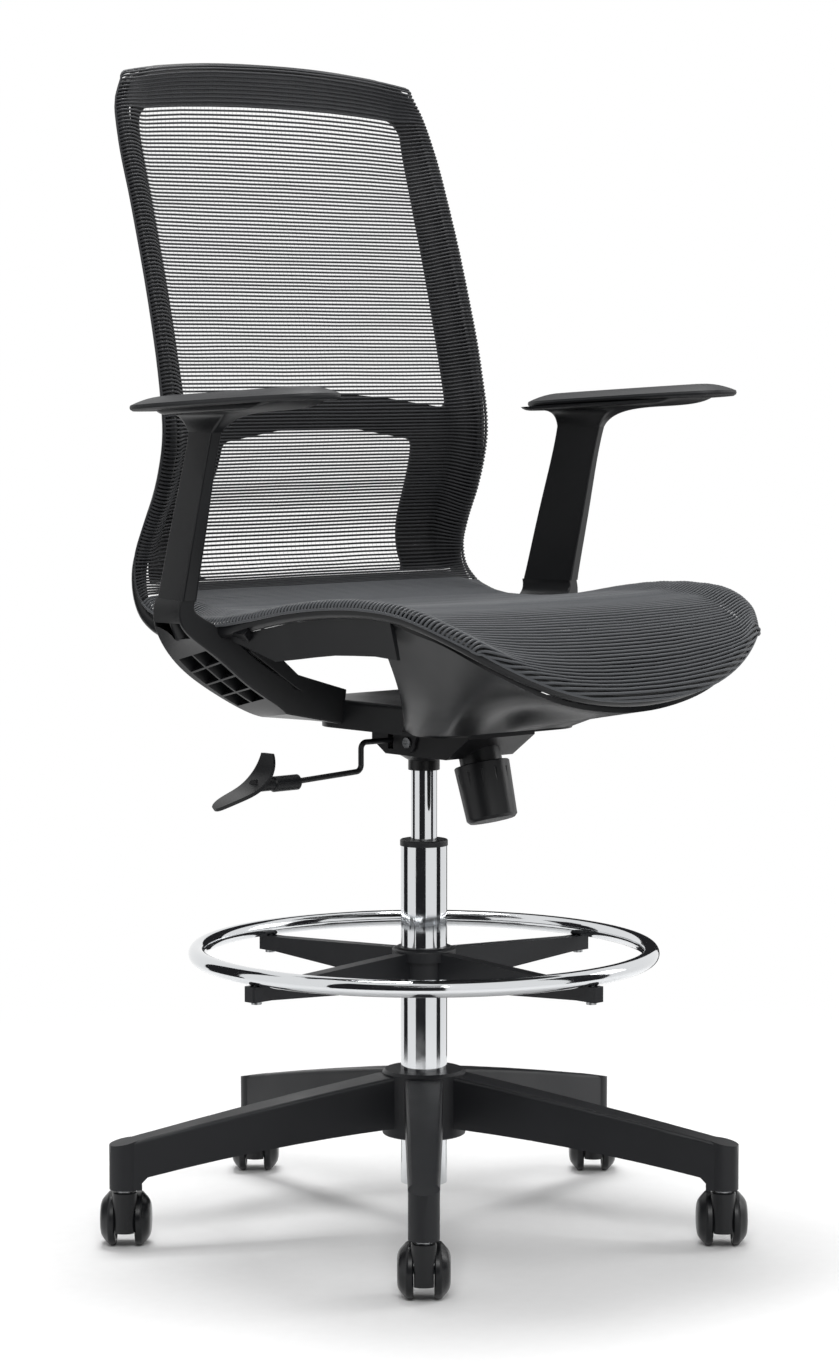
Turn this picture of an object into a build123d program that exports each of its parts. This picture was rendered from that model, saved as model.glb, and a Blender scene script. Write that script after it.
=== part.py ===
"""Drafting chair: star base on casters, gas lift with a foot ring, tilting mesh shell.

Millimetres. The origin is on the floor under the column. +Z is up, the sitter faces -Y and
the sitter's right hand is at -X. Each piece is a solid of its own in parts/NODE.step.
"""

from build123d import *
import os
from math import cos, pi, radians, sin, sqrt, tan

# ---------------------------------------------------------------- fits and small gaps
RUN = 0.05            # radial clearance of a running fit
SEAT_GAP = 0.3        # gap between curved faces that nearly touch

# ---------------------------------------------------------------- star base
BASE_LEGS = 5
BASE_TURN = 228.0     # direction of the first leg, degrees from +X
CASTER_CIRCLE_R = 333.0
HUB_R = 45.0
HUB_TOP = 174.0
HUB_BOTTOM = 103.0
LEG_TOP_IN = 169.0    # leg top at the hub wall
LEG_TOP_OUT = 113.0   # leg top at the caster
LEG_DEPTH_IN = 55.5
LEG_DEPTH_OUT = 35.0
LEG_RISE_TOP = 1.2    # rise of the leg's top above a straight line at mid length
LEG_RISE_LOW = 3.7    # the same for its lower edge
LEG_HALF_IN = 21.0
LEG_HALF_OUT = 14.5
LEG_WALL = 4.0
LEG_RIBS = 4
LEG_END_BOTTOM = 64.5
LEG_END_DRAFT = 1.5

# ---------------------------------------------------------------- casters
WHEEL_R = 29.0
WHEEL_W = 16.5
WHEEL_INNER = 10.5    # inner face of each wheel from the middle of the caster
CASTER_TRAIL = 19.0
CASTER_HEADING = 48.0  # direction in which the wheels trail, degrees from +X
HOOD_R = 13.0
HOOD_WEB = 19.6
HOOD_BOTTOM = 18.0
HOOD_TOP = 61.5
STEM_R = 5.5
STEM_TOP = 100.0
STEM_DEPTH = 26.0     # how far the stem reaches down into the hood
AXLE_R = 4.0
AXLE_HALF = 23.0
WHEEL_GAP = 0.5

# ---------------------------------------------------------------- column
TUBE_R = 25.0
TUBE_WALL = 2.0
TUBE_BOTTOM = 50.0
TUBE_TOP = 417.5
TUBE_FLOOR = 4.0
COLLAR_LIP = 0.8
COLLAR_H = 6.5
GUIDE_LENGTH = 62.0
CYLINDER_R = 14.0
CYLINDER_WALL = 2.0
CYLINDER_BOTTOM = 150.0
CYLINDER_TOP = 524.0
ROD_R = 5.0
ROD_TOP = 300.0
PISTON_H = 14.0
BEARING_R = 15.0
BEARING_H = 6.0
CLIP_R = 9.0
CLIP_H = 1.6
PIN_R = 3.5
PIN_PROUD = 6.4
PIN_SUNK = 24.0

# ---------------------------------------------------------------- foot ring
RING_R = 245.0        # centreline
RING_BAR_R = 9.0
RING_Z = 302.0
RING_HUB_R = 29.5
RING_FLANGE_R = 34.5
RING_FLANGE_H = 12.0
RING_HUB_TOP = 306.0
RING_HUB_BOTTOM = 262.0
BUSH_WALL = 2.0
BUSH_LIP = 2.0
SPOKES = 4
SPOKE_TURN = 3.0      # direction of the first spoke, degrees from +X
SPOKE_END_R = 256.0
SPOKE_W = 15.0
SPOKE_H_OUT = 16.0
SPOKE_TOP_IN = 303.0
SPOKE_BOTTOM_IN = 264.0
SCREW_R = 3.0

# ---------------------------------------------------------------- mechanism
PIVOT_Y = -31.5
PIVOT_Z = 534.0
PIVOT_R = 4.0
HOUSING_HALF = 48.0
HOUSING_WALL = 3.0
HOUSING_BOTTOM = 519.5
HOUSING_TOP_FRONT = 566.0
HOUSING_TOP_REAR = 545.0
HOUSING_FRONT_Y = -122.0
HOUSING_REAR_Y = 30.0
SOCKET_RING_R = 17.0
SOCKET_BOTTOM = 499.5
SOCKET_RING_H = 10.5
CONE_R = 33.0
LUG_R = 11.0
LUG_W = 3.0
LUG_GAP = 0.5
PLATE_HALF = 74.0
PLATE_T = 3.0
PLATE_Z = 571.0       # underside of the tilt plate
PLATE_FRONT_Y = -128.0
PLATE_REAR_Y = 66.0

# ---------------------------------------------------------------- tension knob
KNOB_LEAN = 16.4      # lean of the knob's axis, lower end to the front
KNOB_AXIS_Y = -83.2   # the axis passes this point ...
KNOB_AXIS_Z = 539.0   # ... at this height
SLEEVE_R = 22.5
SLEEVE_WALL = 2.0
SLEEVE_START = 23.0   # distances along the axis
SLEEVE_END = 64.0
KNOB_START = 27.5
KNOB_END = 88.5
KNOB_R_TOP = 29.6
KNOB_R_END = 27.2
KNOB_BORE_GAP = 0.8
KNOB_FLOOR = 66.0
KNOB_FLUTES = 12
BOLT_R = 4.0
BOLT_INNER = -14.0
SPRING_R = 14.0
SPRING_WIRE_R = 1.8
SPRING_TURNS = 5
THRUST_R = 20.0
THRUST_T = 3.0
THRUST_TRAVEL = 10.0

# ---------------------------------------------------------------- lever
LEVER_Z = 534.0
LEVER_R = 3.0
LEVER_PIVOT_X = -30.0
LEVER_TIP_X = 3.5
LEVER_DROP_X = -89.7
LEVER_LOW_Z = 504.2
LEVER_END_X = -196.0
LEVER_END_Z = 498.6
LEVER_BEND_R = 7.0
GRIP_R = 8.2
GRIP_START_X = -177.0
GRIP_END_X = -212.0
CROSS_PIN_R = 1.5
NECK_R = 6.5
PADDLE_NECK_X = -238.0
PADDLE_W = 33.0
PADDLE_T = 4.0
BLOCK_X = 10.0
BLOCK_Y = 9.0
BLOCK_TOP = 541.0

# ---------------------------------------------------------------- seat shell
RAIL_R = 8.0
MESH_T = 1.5
MESH_GAP = 0.8        # between the rail and the mesh that passes over it
BORDER_GAP = 1.4      # between the mesh and the border behind it
BORDER_T = 4.0
BORDER_EDGE = 1.0     # between the rail and the border's edge
# Centreline of the rail on the +X side, from the top middle down the back and forward
# round the seat to the front middle: half width, place along Y, height.
RAIL = [
    (60, 266, 1254), (115, 264, 1252), (165, 261, 1247), (196, 257, 1236), (211, 251, 1214),
    (215.5, 240, 1182), (218.5, 210, 1097), (220, 184, 1012), (221.5, 163, 927),
    (222, 153.5, 855), (222.5, 168, 800),
    (224, 190, 757), (228, 203, 716), (232, 197, 690), (236, 181, 668),
    (238, 152, 653), (238, 110, 650), (237, 55, 656), (236.5, 0, 668),
    (236, -60, 680), (235.5, -120, 687), (234, -180, 689), (230.5, -225, 685),
    (222, -258, 675), (205, -285, 660), (178, -304, 642), (143, -315, 625),
    (98, -321.5, 609), (48, -325, 600), (0, -326, 597),
]
# Rows of the mesh from the top down and forward: half width, place along Y and height of the
# rail under its edge, how far the middle stands off along Y and Z, and how deep it is dished.
MESH_ROWS = [
    (198, 256, 1238, 9, 15, 0), (208, 252, 1218, 7, 13, 6), (214, 242, 1188, 4, 8, 14),
    (218.5, 210, 1097, 2, 0, 20), (220, 184, 1012, 3, 0, 22), (221.5, 163, 927, 4, 0, 22),
    (222, 153.5, 855, 4, 0, 22), (222.5, 168, 800, 4, 0, 22), (224.5, 188, 760, 4, 0, 20),
    (227, 199, 728, 2, 0, 15), (230, 195, 700, 0, 0, 6), (234, 178, 680, 0, 0, -4),
    (237, 150, 668, 0, 0, -9), (238, 110, 660, 0, 0, -9), (237, 55, 661, 0, -2, -6),
    (236.5, 0, 669, 0, -4, -1), (236, -60, 680, 0, -5, 4), (235.5, -120, 687, 0, -5, 7),
    (234, -180, 689, 0, -5, 8), (229, -230, 684, -4, -7, 8), (216, -268, 670, -14, -22, 6),
    (196, -294, 654.6, -34, -54, -0.5),
]
# The border's first rows stay inside the rail's top corners.
BORDER_TOP_ROWS = [(196, 255, 1229, 8, 14, 3), (206, 252, 1215, 7, 12, 7)]
CREASE_ROW = 11       # the row at which the back's mesh meets the seat's
BORDER_ROW = 10       # the last row of the border behind the back's mesh
MESH_EDGE = 1.5       # the mesh ends this far inside the rail's middle
BOW_POWER_Y = 3.4     # how squarely the rows' middles stand off along Y and along Z
BOW_POWER_Z = 2.4
LIP_WIDTH = 34.0      # the mesh falls back over this width inside the rail
WINDOW_HALF = 189.0
WINDOW_TOP = 1224.0
WINDOW_CORNER_R = 24.0
BAR_TOP = 904.0       # lumbar bar, at its middle
BAR_BOTTOM = 863.0
BAR_DROP = 14.0       # how much lower the bar is at its ends
LOWER_HALF_TOP = 137.0
LOWER_HALF_END = 150.0
LOWER_END = 700.0

# ---------------------------------------------------------------- arms
POST_X = 269.5
POST_TOE = 13.6       # turn of the post about Z, its front edge outwards
# Post sections: height, place along Y, depth, thickness
POST_SECTIONS = [
    (690, 84.5, 64, 17), (740, 71.0, 61, 15.5), (800, 54.5, 57, 13.5),
    (850, 40.5, 55, 12.0), (864, 36.5, 56, 12.5),
]
# Flare under the pad: height, place along Y, depth, thickness, how far its front is tipped up
FLARE_SECTIONS = [(875, 31, 76, 19, 1), (884, 10, 140, 44, 2), (891.2, -18, 236, 72, 3)]
EDGE_SHARE = 0.15     # corner radius of the post as a share of its thickness
FLARE_EDGE_SHARE = 0.3
# Beam from the post's foot to under the seat: way inwards from the post's middle, height of its
# flat upper face, fall in degrees, depth, and thickness at its front and at its rear edge
BEAM_SECTIONS = [
    (8.5, 690, 90, 64, 17, 17), (10.5, 676.5, 54, 64, 22, 26), (28.8, 665, 37, 63, 26, 42),
    (66.8, 636.5, 37, 61, 27, 48), (97.5, 613.5, 34, 58, 28, 45), (121.7, 595, 18, 56, 29, 37),
]
# The carrier's own end of the beam, inside the tray's wall
BEAM_ROOT = (181, 579.8, 8, 50, 26, 27)
BEAM_FRONT = 32.0     # the beam's front face ahead of the post's middle
BEAM_MIDDLE_Y = 86.5
BEAM_EDGE_R = 1.8
CELL_SECTION = 3      # the cells are square to the beam at this section
CELL_START = -38.0    # first and last cell, along the beam from that section
CELL_END = 50.0
BEAM_CELLS = 4
BEAM_WALL = 4.0
BEAM_ROOF = 18.0      # material left above the cells
BEAM_RIB = 2.4
CELL_REACH = 60.0     # the cells' cutters reach this far down, out of the beam
CUP_SECTION = 1
CUP_R = 14.0
CUP_END_R = 8.0
CUP_DEPTH = 14.0      # depth and length of the pocket round the cup
CUP_LENGTH = 20.0
CUP_ALONG = -3.0      # where the pocket starts, along the beam from its section
ARM_BOLT_R = 2.5
ARM_BOLT_HEAD_R = 5.0
ARM_BOLT_SPREAD = 12.0
ARM_BOLT_REACH = 14.0
ARM_BOLT_DEPTH = 18.0  # the bolts' axes below the beam's upper face
PAD_Y = -27.0
PAD_TILT = 3.0        # the pad's front is tipped up
PAD_LENGTH = 296.0
PAD_WIDTH = 92.0
PAD_BOTTOM = 891.7
PAD_LIP = 6.0
PAD_CROWN = 8.5
PAD_FLAT = 0.2        # share of the pad that is flat on top
PAD_STEPS = 6
PAD_OUT = 14.5        # the pad's middle stands this far outside the post

# ---------------------------------------------------------------- carrier under the seat
TRAY_HALF = 104.0
TRAY_FRONT_Y = -145.0
TRAY_REAR_Y = 72.0
TRAY_BOTTOM = 549.0
TRAY_TOP = 580.0
TRAY_WALL = 4.0
TRAY_CORNER_R = 40.0
# Cross arm on the beam, from under the rail to inside the tray: way inwards from the post's
# middle, height of the beam's upper face, fall in degrees, its front face ahead of the post's
# middle, width and thickness
CROSS_SECTIONS = [
    (40, 656, 38, 80, 68, 8), (50, 648.5, 37, 70, 60, 12), (60, 641.3, 37, 44, 36, 15),
    (70, 634.2, 37, 32.5, 26, 17),
    (97.5, 613.5, 34, 32, 26, 16), (121.7, 595, 20, 32, 26, 14), (132, 588.5, 14, 32, 26, 17),
    (181, 576.5, 8, 32, 26, 14),
]
CROSS_EDGE_R = 1.5
PANEL_T = 4.0
PANEL_H = 38.0
PANEL_END_H = 4.0     # the panel's height at its rear end, from where it grows at this slope
PANEL_SLOPE = 0.52
PANEL_LIP_IN = 1.5    # the panel's inner face reaches this far in and up beside the rail
PANEL_LIP_UP = 0.5
PANEL_LEAN = 10.0     # the panel's lower edge stands this far inside its upper edge
PANEL_STATIONS = 9
PANEL_REAR_Y = 38.0
PANEL_SEAM_Y = -206.0
SHELL_SCREW_Y = [-7.0, -53.0, -156.0]
SHELL_SCREW_R = 2.0
PLATE_BOLT_R = 3.0
PLATE_BOLT_X = 62.0
PLATE_BOLT_Y = [-112.0, 48.0]
SHROUD_T = 5.0
SHROUD_WALL_T = 4.0   # wall across the moulding's rear
SHROUD_WALL_TOP = 1   # points of the rear edge above the wall
SHROUD_SHARE_X = 0.972  # its upper edge stands inside the rail's middle line by these shares
SHROUD_SHARE_Y = 0.985
SHROUD_GAP = 0.6      # below the rail
PANEL_CLEARANCE = 0.4
# Columns of the front moulding from its side to its middle: where each stands on the tray,
# and how far its middle swells from the straight line up to the rail
SHROUD_FOOT = [
    (106, -84, 557), (106, -100, 556), (103, -116, 555), (96, -128, 555), (84, -138, 555),
    (66, -146, 556), (46, -150, 557), (24, -151, 557), (0, -152, 557),
]
SHROUD_SWELL = [
    (2, -34, -20), (-6, -26, -19), (-9, -18, -17), (-4, -10, -12), (-2, 4, -3),
    (-5, 22, 14), (-9, 40, 28), (-3, 46, 20), (0, 40, -6),
]

parts = {}


# ================================================================ helpers
def cyl(radius, z0, z1, x=0.0, y=0.0):
    """Upright cylinder between two heights."""
    return Pos(x, y, z0) * Cylinder(radius, z1 - z0, align=(Align.CENTER, Align.CENTER, Align.MIN))


def tube(outer, inner, z0, z1):
    """Upright tube between two heights."""
    return cyl(outer, z0, z1) - cyl(inner, z0 - 1, z1 + 1)


def rod(start, end, radius):
    """Straight round bar between two points."""
    start, end = Vector(*start), Vector(*end)
    plane = Plane(origin=start, z_dir=end - start)
    return plane * Cylinder(radius, (end - start).length, align=(Align.CENTER, Align.CENTER, Align.MIN))


def box(x0, x1, y0, y1, z0, z1):
    """Box from its limits."""
    size = (x1 - x0, y1 - y0, z1 - z0)
    return Pos((x0 + x1) / 2, (y0 + y1) / 2, (z0 + z1) / 2) * Box(*size)


def mirrored(shape):
    """The same piece on the other side of the chair."""
    return mirror(shape, about=Plane.YZ)


def bend_radii(points, share=0.45, closed=False):
    """The largest bend radius at each corner of a polyline."""
    vectors = [Vector(*p) for p in points]
    count = len(vectors)
    corners = range(count) if closed else range(1, count - 1)
    radii = []
    for i in corners:
        before = vectors[i] - vectors[i - 1]
        after = vectors[(i + 1) % count] - vectors[i]
        turn = radians(before.get_angle(after))
        run = min(before.length, after.length)
        radii.append(share * run / tan(max(turn, 0.02) / 2))
    return radii


def superellipse(length, width, exponent=4.0, count=28):
    """Closed smooth outline about the origin, length along Y and width along X."""
    points = []
    for i in range(count):
        a = 2 * pi * i / count
        c, s = cos(a), sin(a)
        x = width / 2 * abs(c) ** (2 / exponent) * (1 if c >= 0 else -1)
        y = length / 2 * abs(s) ** (2 / exponent) * (1 if s >= 0 else -1)
        points.append((x, y))
    return make_face(Spline(*points, periodic=True))


def smooth(t):
    """0 to 1 with level ends."""
    t = max(0.0, min(1.0, t))
    return t * t * (3 - 2 * t)


def thick_sheet(grid, away, thickness):
    """Solid sheet: a smooth surface through a grid of points, thickened along one direction."""
    face = Face.make_surface_from_array_of_points([[Vector(*p) for p in row] for row in grid])
    return extrude(face, amount=thickness, dir=away)


# ================================================================ star base and casters
def leg_profile():
    """Side outline of one leg, radius along X and height along Y."""
    start, end = 30.0, CASTER_CIRCLE_R + LEG_HALF_OUT + 1
    top_mid = (LEG_TOP_IN + LEG_TOP_OUT) / 2 + LEG_RISE_TOP
    low_in, low_out = LEG_TOP_IN - LEG_DEPTH_IN, LEG_TOP_OUT - LEG_DEPTH_OUT
    low_mid = (low_in + low_out) / 2 + LEG_RISE_LOW
    neck = CASTER_CIRCLE_R - LEG_HALF_OUT - 1
    top = ThreePointArc((HUB_R, LEG_TOP_IN), ((HUB_R + end) / 2, top_mid), (end, LEG_TOP_OUT - 1))
    low = ThreePointArc((neck - 6, low_out), ((HUB_R + neck) / 2, low_mid), (HUB_R, low_in))
    outline = (
        Line((start, LEG_TOP_IN), (HUB_R, LEG_TOP_IN)) + top
        + Polyline((end, LEG_TOP_OUT - 1), (end + LEG_END_DRAFT, LEG_END_BOTTOM),
                   (neck, LEG_END_BOTTOM), (neck, low_out - 6), (neck - 6, low_out))
        + low + Polyline((HUB_R, low_in), (start, low_in), (start, LEG_TOP_IN))
    )
    return make_face(outline)


def leg_plan(inset=0.0):
    """Plan outline of one leg with a round end, as a tall prism."""
    end = CASTER_CIRCLE_R
    wedge = make_face(Polyline(
        (20, -LEG_HALF_IN + inset), (end, -LEG_HALF_OUT + inset),
        (end, LEG_HALF_OUT - inset), (20, LEG_HALF_IN - inset), close=True))
    plan = wedge + Pos(end, 0) * Circle(LEG_HALF_OUT + LEG_END_DRAFT - inset)
    return extrude(Pos(0, 0, LEG_END_BOTTOM - 10) * plan, LEG_TOP_IN + 20 - LEG_END_BOTTOM)


def one_leg():
    """A leg along +X: hollow below, with cross ribs, and a boss for the caster stem."""
    side = extrude(Plane.XZ * leg_profile(), LEG_HALF_IN + 4, both=True)
    leg = side & leg_plan()
    top_edges = leg.edges().filter_by(lambda e: e.center().Z > LEG_TOP_OUT - 3 and e.length > 100)
    leg = fillet(top_edges, 3.5)
    hollow = Pos(0, 0, -LEG_WALL) * extrude(Plane.XZ * leg_profile(), LEG_HALF_IN, both=True)
    hollow = hollow & leg_plan(LEG_WALL)
    first, last = HUB_R + 8, CASTER_CIRCLE_R - LEG_HALF_OUT - 8
    pitch = (last - first) / LEG_RIBS
    for i in range(LEG_RIBS):
        x0 = first + i * pitch
        cell = hollow & box(x0 + 1.3, x0 + pitch - 1.3, -50, 50, 0, 300)
        leg = leg - cell
    return leg


def star_base():
    """Moulded hub and legs, bored for the column and the caster stems."""
    hub = cyl(HUB_R, HUB_BOTTOM, HUB_TOP)
    hub = chamfer(hub.faces().sort_by(Axis.Z)[-1].edges(), 3)
    hub = fillet(hub.faces().sort_by(Axis.Z)[0].edges(), 2)
    body = hub
    for i in range(BASE_LEGS):
        body = body + Rot(0, 0, BASE_TURN + i * 360 / BASE_LEGS) * one_leg()
    body = body - cyl(TUBE_R, HUB_BOTTOM - 5, HUB_TOP + 5)
    for x, y, _ in caster_places():
        body = body - cyl(STEM_R + RUN, LEG_END_BOTTOM - 1, STEM_TOP + 2, x, y)
    return body


def caster_places():
    """Pivot of each caster: x, y and the leg's direction."""
    places = []
    for i in range(BASE_LEGS):
        a = BASE_TURN + i * 360 / BASE_LEGS
        places.append((CASTER_CIRCLE_R * cos(radians(a)), CASTER_CIRCLE_R * sin(radians(a)), a))
    return places


def wheel_solid(side):
    """One crowned wheel on the axle along Y, its blind bore open to the inner face."""
    inner, outer = WHEEL_INNER, WHEEL_INNER + WHEEL_W
    rim = WHEEL_R
    outline = (
        Polyline((0, outer), (9, outer)) + Spline((9, outer), (rim - 9, outer - 2.2), (rim - 2, outer - 8),
                                                 (rim, outer - 12), tangents=((1, 0), (0, -1)))
        + Polyline((rim, outer - 12), (rim, inner + 1.5), (rim - 1.5, inner), (0, inner), (0, outer))
    )
    solid = revolve(Plane.XY * make_face(outline), Axis.Y)
    recess = Pos(0, inner, 0) * Rot(-90, 0, 0) * (
        Cylinder(rim - 6, 6, align=(Align.CENTER, Align.CENTER, Align.MIN)) - Cylinder(9, 20))
    solid = solid - recess
    solid = solid - rod((0, inner - 1, 0), (0, AXLE_HALF + 0.5, 0), AXLE_R + RUN)
    if side < 0:
        solid = mirror(solid, about=Plane.XZ)
    return Pos(CASTER_TRAIL, 0, WHEEL_R) * solid


def hood_solid():
    """Caster body: stem boss in front, web between the wheels behind it."""
    boss = cyl(HOOD_R, HOOD_BOTTOM, HOOD_TOP)
    boss = chamfer(boss.faces().sort_by(Axis.Z)[-1].edges(), 1.0)
    web = rod((CASTER_TRAIL, -HOOD_WEB / 2, WHEEL_R), (CASTER_TRAIL, HOOD_WEB / 2, WHEEL_R), WHEEL_R - 2)
    web = web & box(-20, 60, -30, 30, HOOD_BOTTOM, HOOD_TOP)
    bridge = box(0, CASTER_TRAIL, -HOOD_WEB / 2, HOOD_WEB / 2, HOOD_BOTTOM, HOOD_TOP - 4)
    hood = boss + web + bridge
    for side in (1, -1):
        near, far = side * (WHEEL_INNER - WHEEL_GAP), side * (WHEEL_INNER + WHEEL_W + 5)
        hood = hood - rod((CASTER_TRAIL, near, WHEEL_R), (CASTER_TRAIL, far, WHEEL_R), WHEEL_R + 1.0)
    hood = hood - cyl(STEM_R, HOOD_TOP - STEM_DEPTH, HOOD_TOP + 5)
    return hood - rod((CASTER_TRAIL, -30, WHEEL_R), (CASTER_TRAIL, 30, WHEEL_R), AXLE_R)


def make_casters():
    """Five casters, all trailing the same way, as after a short roll."""
    hood = hood_solid()
    stem = cyl(STEM_R, HOOD_TOP - STEM_DEPTH, STEM_TOP)
    stem = chamfer(stem.faces().sort_by(Axis.Z)[-1].edges(), 1.2)
    stem = stem + cyl(STEM_R + 3.5, HOOD_TOP, LEG_END_BOTTOM - SEAT_GAP)
    axle = rod((CASTER_TRAIL, -AXLE_HALF, WHEEL_R), (CASTER_TRAIL, AXLE_HALF, WHEEL_R), AXLE_R)
    wheels = {"left": wheel_solid(1), "right": wheel_solid(-1)}
    for i, (x, y, _) in enumerate(caster_places(), start=1):
        place = Pos(x, y, 0) * Rot(0, 0, CASTER_HEADING)
        parts[f"caster_{i}_hood"] = place * hood
        parts[f"caster_{i}_pins"] = Compound(children=[place * stem, place * axle])
        for side, wheel in wheels.items():
            parts[f"caster_{i}_wheel_{side}"] = place * wheel


# ================================================================ column
def make_column():
    """Outer tube, guide, gas cylinder, its rod and bearing."""
    bore = TUBE_R - TUBE_WALL
    floor_top = TUBE_BOTTOM + TUBE_FLOOR
    outer = cyl(TUBE_R, TUBE_BOTTOM, TUBE_TOP) - cyl(bore, floor_top, TUBE_TOP + 1)
    parts["column_tube"] = outer - cyl(ROD_R + RUN, TUBE_BOTTOM - 1, floor_top + 1)
    guide = cyl(bore - RUN, TUBE_TOP - GUIDE_LENGTH, TUBE_TOP)
    cap = cyl(TUBE_R + COLLAR_LIP, TUBE_TOP, TUBE_TOP + COLLAR_H)
    cap = fillet(cap.faces().sort_by(Axis.Z)[-1].edges(), 1.5)
    parts["column_guide"] = guide + cap - cyl(CYLINDER_R + RUN, 300, 500)

    shell = cyl(CYLINDER_R, CYLINDER_BOTTOM, CYLINDER_TOP)
    inside = cyl(CYLINDER_R - CYLINDER_WALL, CYLINDER_BOTTOM + 10, CYLINDER_TOP - PIN_SUNK - 12)
    shell = shell - inside - cyl(ROD_R + RUN, CYLINDER_BOTTOM - 1, CYLINDER_BOTTOM + 11)
    parts["gas_cylinder"] = shell - cyl(PIN_R + RUN, CYLINDER_TOP - PIN_SUNK - 8, CYLINDER_TOP + 1)
    parts["release_pin"] = cyl(PIN_R, CYLINDER_TOP - PIN_SUNK, CYLINDER_TOP + PIN_PROUD)

    piston_r = CYLINDER_R - CYLINDER_WALL - RUN
    spindle = cyl(ROD_R, TUBE_BOTTOM - CLIP_H - 3, ROD_TOP)
    spindle = spindle - tube(ROD_R + 1, ROD_R - 0.8, TUBE_BOTTOM - CLIP_H, TUBE_BOTTOM)
    parts["piston_rod"] = spindle + cyl(piston_r, ROD_TOP - PISTON_H, ROD_TOP)
    parts["thrust_bearing"] = tube(BEARING_R, ROD_R + RUN, floor_top, floor_top + BEARING_H)
    clip = tube(CLIP_R, ROD_R - 0.8, TUBE_BOTTOM - CLIP_H, TUBE_BOTTOM)
    parts["rod_clip"] = clip - box(0, CLIP_R + 1, -2.5, 2.5, TUBE_BOTTOM - 5, TUBE_BOTTOM + 1)


# ================================================================ foot ring
def make_foot_ring():
    """Round bar ring on a spoked hub that slides and turns on a split bush."""
    bush_in, bush_out = TUBE_R + RUN, TUBE_R + RUN + BUSH_WALL
    bush = tube(bush_out, bush_in, RING_HUB_BOTTOM - BUSH_LIP, RING_HUB_TOP + BUSH_LIP)
    for z in (RING_HUB_BOTTOM - BUSH_LIP, RING_HUB_TOP + RUN):
        bush = bush + tube(bush_out + 2, bush_in, z, z + BUSH_LIP - RUN)
    parts["ring_bush"] = bush

    hub = cyl(RING_HUB_R, RING_HUB_BOTTOM, RING_HUB_TOP)
    hub = hub + cyl(RING_FLANGE_R, RING_HUB_TOP - RING_FLANGE_H, RING_HUB_TOP)
    hub = fillet(hub.faces().sort_by(Axis.Z)[-1].edges(), 2)
    top_out = RING_Z - RING_BAR_R
    side = make_face(Polyline(
        (20, SPOKE_TOP_IN), (RING_FLANGE_R, SPOKE_TOP_IN), (SPOKE_END_R - 26, top_out),
        (SPOKE_END_R, top_out), (SPOKE_END_R, top_out - SPOKE_H_OUT), (SPOKE_END_R - 26, top_out - SPOKE_H_OUT),
        (RING_HUB_R, SPOKE_BOTTOM_IN), (20, SPOKE_BOTTOM_IN), close=True))
    spoke = extrude(Plane.XZ * side, SPOKE_W / 2, both=True)
    spoke = chamfer(spoke.edges().filter_by(Axis.Z).sort_by(Axis.X)[-2:], 1.5)
    spoke = spoke - cyl(SCREW_R, 200, 320, RING_R)
    body = hub
    for i in range(SPOKES):
        body = body + Rot(0, 0, SPOKE_TURN + i * 360 / SPOKES) * spoke
    parts["ring_spokes"] = body - cyl(bush_out + RUN, RING_HUB_BOTTOM - 9, RING_HUB_TOP + 9)

    parts["foot_ring"] = Pos(0, 0, RING_Z) * Torus(RING_R, RING_BAR_R)
    screw = cyl(SCREW_R, top_out - SPOKE_H_OUT, RING_Z - 2, RING_R)
    screw = screw + cyl(SCREW_R + 2.5, top_out - SPOKE_H_OUT - 3, top_out - SPOKE_H_OUT, RING_R)
    screws = [Rot(0, 0, SPOKE_TURN + i * 360 / SPOKES) * screw for i in range(SPOKES)]
    parts["ring_screws"] = Compound(children=screws)


# ================================================================ mechanism
def knob_axis():
    """Plane at the top of the knob's axis, its Z pointing down along the axis."""
    lean = radians(KNOB_LEAN)
    return Plane(origin=(0, KNOB_AXIS_Y, KNOB_AXIS_Z), x_dir=(1, 0, 0), z_dir=(0, -sin(lean), -cos(lean)))


def along_knob(radius, start, end):
    """Cylinder on the knob's axis between two distances along it."""
    piece = Pos(0, 0, start) * Cylinder(radius, end - start, align=(Align.CENTER, Align.CENTER, Align.MIN))
    return knob_axis() * piece


def housing_outline(inset=0.0):
    """Side outline of the housing: Y along the first axis, Z along the second."""
    front, rear, low = HOUSING_FRONT_Y + inset, HOUSING_REAR_Y - inset, HOUSING_BOTTOM + inset
    return make_face(Polyline(
        (front, HOUSING_TOP_FRONT + inset), (front, HOUSING_BOTTOM + 24 + inset), (front + 34, low),
        (rear - 22, low), (rear, low + 14), (rear, HOUSING_TOP_REAR + inset), close=True))


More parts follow.
